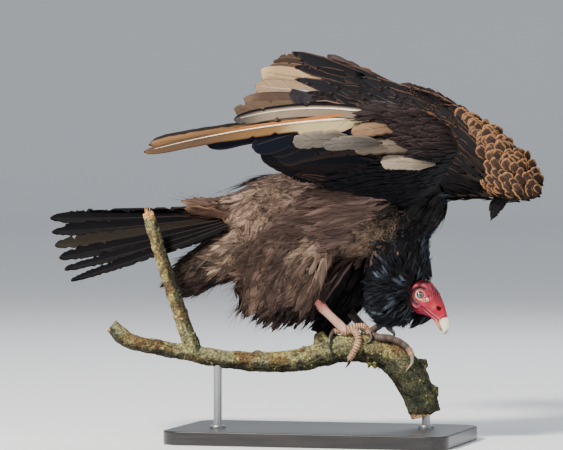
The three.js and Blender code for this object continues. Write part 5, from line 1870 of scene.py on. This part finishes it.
def makeFlightFeathers():
    shares = np.linspace(0, 1, flight["rows"] + 1) ** 0.92
    for side, wing in wings.items():
        dorsal = np.array([0.0, -wing["outward"], 0.0])
        for kind, count in (("primary", 10), ("secondary", 12)):
            dice = np.random.default_rng(11 + count + wing["outward"])
            coat = newCoat()
            for index in range(count):
                which = (side, kind, index)
                share = index / (count - 1)

                def shaftAt(shift):
                    return flightShaft(wing, kind, np.clip(share + shift, -0.05, 1.05), shares)

                line, across, normal = shaftFrame(shaftAt, dorsal)
                level = index if kind == "primary" else index - 3
                if which == ("right", "primary", 0):
                    level = 2.6  # it has slipped behind its neighbour
                line = spots(line) + normal * flight["stack"] * (level - 4) * ease(shares, 0.02, 0.2)[:, None]
                outer, inner, notch = 11, 26, 0.0
                if (side, kind) == ("right", "primary"):
                    outer, inner = 7.5 + 5.0 * share, (33 - 5 * share) * (0.78 if index in (2, 3) else 1)
                    notch = {1: 0.30, 4: 0.55}.get(index, 0.0)
                elif kind == "primary":
                    outer, inner = 13 + 4 * share, 27 - 3 * share
                reach = featherReach(shares, outer, inner, notch,
                                     0.16 if side == "right" else dice.uniform(0.2, 0.4))
                reach = reach * dice.uniform(0.94, 1.06)
                if side == "right" and kind == "primary" and index < 4:
                    reach[:, 1] *= (0.4, 1.0, 0.68, 0.74)[index]
                    reach[:, 1] *= 1 - (0, 0.45, 0.1, 0)[index] * ease(shares, 0.55, 0.85)
                spread = 0.7 + 0.3 * cloud(np.stack([shares * 9, shares * 0, shares * 0 + index], axis=-1),
                                           1.0, index)
                reach[-12:] *= (0.9 + 0.16 * spread[-12:])[:, None]
                back, under, rim = (colour(*tone) * dice.uniform(0.82, 1.18)
                                    for tone in flightColours[side][kind])
                if which in specialFlight:
                    back, under, rim = (colour(*tone) for tone in specialFlight[which])
                strip = (0.01 + 0.98 * index / count, 0.98 / count)
                ragged = flight["splits"] if kind == "primary" else 3
                addFlightFeather(coat, line, across, normal, reach, (back, under, rim), -0.0016, dice, strip,
                                 ragged,
                                 fadedFlight.get(which, ()))
                shaftTone = colour(*paleShafts.get(which, (60, 50, 46)))
                addRachis(coat, line[:-3], normal[:-3], flight["rachis"], shaftTone, strip)
            name = "primaries" if kind == "primary" else "secondaries"
            coatObjects(coat, f"{side}{name.capitalize()}", "flight_feathers", featherMaterials["flight"],
                        (f"{side}_{name}",))


specialFlight = {  # feathers with colours of their own: back, underside and rim
    ("right", "primary", 0): ((60, 48, 42), (126, 112, 96), (20, 18, 20)),
    ("right", "primary", 1): ((74, 58, 48), (204, 182, 138), (112, 80, 54)),
    # Painted shadow: the undersides of these two lie in the shadow of their neighbours.
    ("right", "primary", 2): ((60, 48, 42), (9, 13, 23), (28, 28, 34)),
    ("right", "primary", 3): ((60, 48, 42), (10, 14, 23), (30, 28, 32)),
    ("left", "primary", 0): ((64, 51, 43), (120, 112, 104), (166, 130, 98)),
    ("left", "primary", 1): ((52, 42, 36), (120, 112, 104), (170, 134, 102)),
    ("left", "primary", 2): ((70, 57, 48), (120, 112, 104), (184, 146, 112)),
    ("left", "primary", 3): ((150, 126, 96), (130, 120, 108), (196, 156, 110)),
    ("left", "primary", 4): ((134, 112, 88), (130, 120, 108), (184, 148, 110)),
    ("left", "primary", 5): ((128, 108, 86), (120, 112, 104), (176, 148, 118)),
    ("left", "primary", 6): ((122, 101, 80), (130, 120, 108), (160, 132, 104)),
    ("left", "primary", 7): ((66, 53, 45), (110, 104, 98), (104, 82, 66)),
    ("left", "primary", 8): ((78, 64, 53), (110, 104, 98), (110, 90, 72)),
    ("left", "primary", 9): ((34, 40, 50), (40, 44, 52), (110, 98, 90)),
}
paleShafts = {
    ("right", "primary", 0): (236, 222, 198), ("right", "primary", 1): (236, 222, 198),
    ("left", "primary", 5): (176, 178, 178),
}
fadedFlight = {  # colours taken on across (0) or along (1) a feather, and between which shares
    ("right", "primary", 1): (((118, 88, 56), 1, 0.24, 0.42), ((160, 102, 58), 0, 0.44, 0.3),
                              ((84, 65, 50), 1, 0.45, 0.75)),
    ("right", "primary", 0): (((66, 62, 60), 1, 0.7, 1.0), ((18, 16, 20), 0, 0.36, 0.2)),
    ("left", "primary", 3): (((186, 154, 110), 1, 0.85, 1.0),),
    ("left", "primary", 7): (((92, 74, 60), 1, 0.85, 1.0),),
}

makeFlightFeathers()
print("flight feathers made")


# Wing coverts, in rows from the leading edge back, on both faces

covertRows = {
    "back": {  # behind, length, half width, spacing, rise at the tip, kind
        "left": [(0.012 + 0.037 * row, 18 + 0.4 * row, 8.0, 11.5, 0.5, "scallop") for row in range(11)]
        + [(0.41, 56, 6.0, 9, 2.4, "long"), (0.46, 70, 6.0, 8.5, 2.4, "long"),
           (0.51, 84, 6.2, 8.5, 2.4, "long"), (0.58, 96, 6.6, 9, 2.2, "long"),
           (0.66, 106, 7.0, 9.5, 2.0, "long"), (0.76, 110, 7.6, 10, 1.8, "long"),
           (0.86, 96, 8.4, 10.5, 1.6, "long")],
        "right": [(0.02 + 0.05 * row, 19 + 0.8 * row, 8.2, 11.5, 0.5, "scallop") for row in range(9)]
        + [(0.47, 44, 9.5, 10, 2.2, "long"), (0.55, 62, 9.5, 10, 2.0, "long"),
           (0.65, 80, 10, 10, 1.8, "long"), (0.76, 90, 10.5, 11, 1.6, "long")],
    },
    "underside": {
        "left": [(0.02 + 0.055 * row, 26 + row, 4.6, 8.0, 1.2, "streak") for row in range(10)]
        + [(0.58, 46, 6, 9, 1.4, "streak"), (0.68, 62, 9, 10, 1.4, "under"),
           (0.80, 72, 10, 11, 1.4, "under")],
        "right": [(0.02 + 0.05 * row, 27 + 2.0 * row, 4.0, 6.6, 1.3, "streak") for row in range(12)]
        + [(0.62, 52, 5.5, 8, 1.6, "streak"), (0.70, 60, 6.5, 9, 1.6, "streak")],
    },
}
covertTones = {  # tone, the least shade of it, rim, how strong the rim is
    "scallop": ((60, 43, 35), 0.45, (166, 120, 80), 0.85),
    "long": ((15, 15, 20), 0.6, (128, 98, 82), 0.9),
    "narrow": ((17, 16, 19), 0.55, (146, 108, 86), 0.95),
    "streak": ((40, 31, 31), 0.22, (84, 64, 58), 0.3),
    "under": ((66, 56, 52), 0.8, (96, 82, 72), 0.6),
}
covertVane = {"columns": 6, "rows": 7, "slant": 0.35, "thickness": 0.0003, "cup": 0.03, "rootShade": 0.5}
wristEdge = ((361, 393, 429, 473), (258, 258, 246, 222))  # heights, and how far ahead the round coverts begin


def covertLines(wing, along, behind, face, length, rise, lie):  # they lie close on the wing's face
    place = wingPlace(wing, along, behind)
    out = wingOut(wing, along, behind) * face
    steps = np.linspace(0, 1, covertVane["rows"] + 1)
    line = []
    backWay = unit(wingPlace(wing, along, behind + 0.05) - wingPlace(wing, along, behind - 0.05))
    chord = np.linalg.norm(chordOf(wing, along), axis=-1)
    for share in steps:
        way = lie - out * np.sum(lie * out, axis=-1, keepdims=True)
        gone = unit(way) * (length * share)[:, None]
        reached = behind + np.sum(gone * backWay, axis=-1) / chord
        depth = np.where(reached > 1, 3.2, np.maximum(wingHalfDepth(np.clip(reached, 0, 1)), 3.0))
        height = depth - 1.6 + (1.6 + rise) * share ** 1.2
        line.append(place + gone + out * height[:, None])
    return np.stack(line, axis=1), np.repeat(out[:, None], len(steps), axis=1)


def makeCoverts():
    profile = np.array([0.35, 0.8, 0.97, 1.0, 1.0, 0.94, 0.72, 0.18])  # half widths from root to tip
    slim = np.array([0.3, 0.62, 0.82, 0.92, 0.98, 0.9, 0.62, 0.12])
    for faceName, sides in covertRows.items():
        for sideName, rowsHere in sides.items():
            wing = wings[sideName]
            face = -1 if faceName == "back" else 1
            dice = np.random.default_rng(500 + face + 7 * wing["outward"])
            coat, scallops, soft = newCoat(), newCoat(), newCoat()
            samples = np.linspace(0, 1, 80)
            runs = np.r_[0, np.cumsum(np.linalg.norm(np.diff(wingPlace(wing, samples, 0.3), axis=0), axis=1))]
            for number, (behind, length, half, spacing, rise, kind) in enumerate(rowsHere):
                places = np.arange(spacing * (0.5 * (number % 2)), runs[-1], spacing)
                count = len(places)
                along = np.interp(places + dice.uniform(-0.3, 0.3, count) * spacing, runs, samples)
                along = np.clip(along, 0.012, 0.988)
                chord = np.linalg.norm(chordOf(wing, along), axis=-1)
                gap = abs(behind - rowsHere[max(number - 1, 0)][0]) if number else 1.0
                along = along[dice.random(count) < gap * chord / (0.62 * spacing)]
                count = len(along)
                back = np.clip(behind + dice.uniform(-0.5, 0.5, count) * min(gap, 0.05), 0.008, 0.95)
                lie = wingLie(wing, wingPlace(wing, along, back))
                inner = ease(along, 0.34, 0.0)
                chordWay = unit(chordOf(wing, along))
                lie = unit(lie * (1 - 0.7 * inner[:, None]) + chordWay * (0.7 * inner)[:, None])
                if face * wing["outward"] == 1 and kind == "under" or sideName == "left" and face == 1:
                    lie = unit(lie + chordWay * 0.8)
                size = dice.uniform(0.8, 1.22, count) * (0.82 + 0.18 * ease(back, 0, 0.14))
                spot = wingPlace(wing, along, back)
                edge = np.interp(spot[:, 2], *wristEdge) + dice.uniform(-6, 6, count)
                beyond = (kind == "scallop") & (spot[:, 0] < edge)
                long = np.where(beyond, dice.uniform(2.0, 3.2, count), 1.0)
                slimness = np.where(beyond, 0.62, 1.0)[:, None, None]
                line, out = covertLines(wing, along, back, face, length * size * long, rise, lie)
                stray = np.radians(dice.normal(0, 8 if kind == "scallop" else 5, count)) / long
                side = acrossOf(line, out)
                shares = np.linspace(0, 1, line.shape[1])
                line = line + side * (np.tan(stray) * length * long)[:, None, None] * shares[None, :, None]
                shape = np.where(beyond[:, None] | (kind not in ("scallop", "under")), slim,
                                 profile)[:, :, None]
                reach = (half * size)[:, None, None] / 1000 * shape * slimness
                reach = reach * dice.uniform(0.82, 1.1, (count, len(profile), 2))
                tones = [covertTones["narrow" if away else kind] for away in beyond.tolist()]
                base, rimTone = (np.array([colour(*entry[part]) for entry in tones]) for part in (0, 2))
                low, rimShare = (np.array([entry[part] for entry in tones]) for part in (1, 3))
                shade = (low + (1.15 - low) * dice.random(count)) * (1 + 0.25 * cloud(line[:, -1], 40, 3))
                dim = np.ones(count)
                if kind == "scallop":
                    dim = 0.5 + 0.5 * ease(back, 0.0, 0.1)
                tone = base * (shade * dim)[:, None]
                if kind == "streak" and sideName == "right":
                    # Painted shade: the inner underwing coverts go near black towards the body.
                    armpitShade = ease(-along, -0.64, -0.48)
                    tone = towards(tone, colour(9, 11, 18), 0.95 * armpitShade)
                    rimShare = rimShare * (1 - armpitShade)
                if kind == "scallop" and sideName == "right":
                    rimShare = rimShare * 0.3
                # Painted shade: the far wing's low coverts beyond the round ones go near black.
                if sideName == "left" and face < 0:
                    hollowShade = beyond * ease(-spot[:, 2], -398, -380)
                    tone = towards(tone, colour(8, 9, 14), hollowShade)
                    rimShare = rimShare * (1 - 0.9 * hollowShade)
                rim = rimTone * (0.55 + 0.45 * dim)[:, None]
                bake = np.stack([0.02 + 0.96 * along, 0.02 + 0.46 * back + (0.5 if face > 0 else 0)], axis=-1)
                rims = withAlpha(rim, rimShare * dice.uniform(0.6, 1.0, count))
                seeds = dice.random(count)
                home = {"scallop": scallops, "streak": soft}.get(kind, coat)
                for group, where in ((home, ~beyond), (coat, beyond)):
                    if where.any():
                        addVanes(group, spots(line[where]), side[where], out[where], reach[where], covertVane,
                                 withAlpha(tone, seeds)[where], rims[where], bake[where])
                if kind == "streak":
                    addBarbs(soft, spots(line), side, out, reach, 2, tone, seeds, bake, dice)
            for group, name, material in ((coat, f"{faceName.capitalize()}Coverts", "covert"),
                                          (scallops, "LesserCoverts", "scallop"),
                                          (soft, "UnderwingCoverts", "body")):
                if group["total"]:
                    coatObjects(group, sideName + name, "wing_coverts", featherMaterials[material])


makeCoverts()
print("coverts made")


# The near wing's pale greater under-coverts, and a few stiff feathers that stand out

paleCoverts = [  # root, tip, half width, tone, rim
    ((216, -170, 460), (124, -194, 447), 11.5, (116, 92, 70), (70, 52, 40)),
    ((226, -158, 430), (125, -185, 426), 12.5, (106, 94, 82), (70, 56, 46)),
    ((236, -148, 403), (160, -165, 406), 11.5, (136, 122, 106), (156, 144, 126)),
    ((130, -188, 438), (42, -201, 434), 11.5, (88, 82, 74), (112, 104, 94)),
    ((168, -184, 433), (84, -196, 430), 10, (80, 75, 70), (104, 98, 88)),
    ((24, -203, 459), (-160, -229, 430), 7.5, (116, 86, 56), (22, 18, 18)),
    ((24, -200, 462), (-158, -226, 433.5), 7.5, (24, 20, 20), (24, 20, 20)),
]
stiffFeathers = [  # root, tip, half width, tone
    ((284, 88, 360), (262, 92, 318), 7, (20, 18, 20)),
    ((291, 90, 358), (268, 94, 328), 6, (26, 22, 22)),
    ((279, 86, 358), (260, 90, 332), 5, (24, 20, 20)),
    ((244, 80, 362), (231, 80, 348), 1.6, (24, 20, 20)),
]


def makeLooseFeathers():
    for name, group, slot, replaced in (("paleCoverts", paleCoverts, "wing_coverts", ()),
                                        ("leftAlula", stiffFeathers, "flight_feathers", ("left_alula",))):
        dice = np.random.default_rng(len(name))
        coat = newCoat()
        look = dict(covertVane, columns=10, rows=24, thickness=0.0007, cup=0.16, slant=0.5)
        stations = look["rows"] + 1
        shares = np.linspace(0, 1, stations)
        for index, (root, tip, half, tone, *rim) in enumerate(group):
            root, tip = np.array(root, float), np.array(tip, float)
            line = root + (tip - root) * shares[:, None]
            bow = np.array([0, -2.0 if slot == "wing_coverts" else 1, 2.0])
            line = line + bow * (4 * shares * (1 - shares))[:, None]
            outward = -1.0 if root[1] < 0 or slot == "flight_feathers" else 1.0
            normal = np.tile(np.array([0.0, outward, -0.12]), (stations, 1))
            side = unit(np.cross(normal, np.gradient(line, axis=0)))
            blunt = 1.3 if slot == "flight_feathers" else 0.5
            end = np.clip((shares - 0.7) / 0.3, 0, 1) ** (2 / blunt)
            profile = ease(shares, -0.1, 0.3) * np.clip(1 - end, 0, 1) ** blunt
            reach = half / 1000 * np.maximum(profile, 0.06)[:, None] * dice.uniform(0.93, 1.05, (stations, 2))
            for _ in range(5):  # torn edges
                reach[dice.integers(8, 24), dice.integers(0, 2)] *= dice.uniform(0.8, 0.95)
            bake = np.array([[0.1 + 0.1 * index, 0.5]])
            rimTone = colour(*(rim[0] if rim else tone))
            addVanes(coat, spots(line)[None], side[None], normal[None], reach[None], look,
                     withAlpha(colour(*tone)[None], dice.random()), withAlpha(rimTone[None], 0.9), bake)
            addRachis(coat, spots(line[1:-3]), normal[1:-3], (0.0007, 0.0003), colour(*tone) * 0.7,
                      (0.1 + 0.1 * index, 0.003))
        coatObjects(coat, name, slot, featherMaterials["covert"], replaced)


makeLooseFeathers()


# Tail

tail = {
    "root": (-93, 0, 330), "fan": 28, "droop": {"right": 50, "left": 36}, "length": 288, "count": 12,
    "halves": (17, 17), "back": (8, 8, 11), "under": (7, 8, 12), "rim": (40, 33, 30),
    "frayed": 22, "narrowFirst": 2, "worn": 3, "wornTone": (30, 26, 21),  # rows at a tip, and single feathers
}


def rectrixShaft(look, share, u):
    fromMiddle = np.clip(share, -0.03, 1.03) * 2 - 1
    spread = abs(fromMiddle)
    droop = math.radians(look["droop"]["right" if fromMiddle < 0 else "left"])
    swing = math.radians(look["fan"]) * spread
    reach = np.array([-math.cos(swing), np.sign(fromMiddle) * math.sin(swing) * math.cos(droop),
                      -math.sin(swing) * math.sin(droop)])
    quill = np.array(look["root"]) + (0, fromMiddle * 24, -14 * spread)
    length = look["length"] * (1 - 0.14 * spread)
    return quill + reach * (length * u)[:, None] - up * (12 * u * (1 - u))[:, None]


def makeTail(look):
    dice = np.random.default_rng(21)
    coat = newCoat()
    shares = np.linspace(0, 1, flight["rows"] + 1) ** 0.95
    for index in range(look["count"]):
        share = (index + 0.5) / look["count"]
        right = share < 0.5
        droop = math.radians(look["droop"]["right" if right else "left"])
        above = np.array([0, (-1 if right else 1) * math.sin(droop), math.cos(droop)])
        stagger = abs(share - 0.5) * 2
        line, across, normal = shaftFrame(lambda shift: rectrixShaft(look, share + shift, shares), above)
        line = spots(line + normal * (3.5 * (1 - stagger) - 2))
        narrow = 0.62 if index < look["narrowFirst"] else 1.0
        outer, inner = (look["halves"][0] * 0.62 * narrow, look["halves"][1] * 1.2 * narrow)
        if not right:
            outer, inner = inner, outer
        reach = featherReach(shares, outer, inner, 0.0, dice.uniform(0.24, 0.4))
        reach[-look["frayed"]:] *= dice.uniform(0.66, 1.06, (look["frayed"], 2))
        back, under, rim = (colour(*look[key]) * dice.uniform(0.75, 1.2) for key in ("back", "under", "rim"))
        strip = (0.01 + 0.98 * index / look["count"], 0.98 / look["count"])
        if index == look["worn"]:
            back = under = colour(*look["wornTone"])
        addFlightFeather(coat, line, across, normal, reach, (back, under, rim), 0.0016 if right else -0.0016,
                         dice, strip, 14)
        addRachis(coat, line[:-3], normal[:-3], flight["rachis"], colour(36, 29, 27), strip)
    coatObjects(coat, "tailFeathers", "tail_feathers", featherMaterials["flight"], ("tail",))


makeTail(tail)
print("tail made")
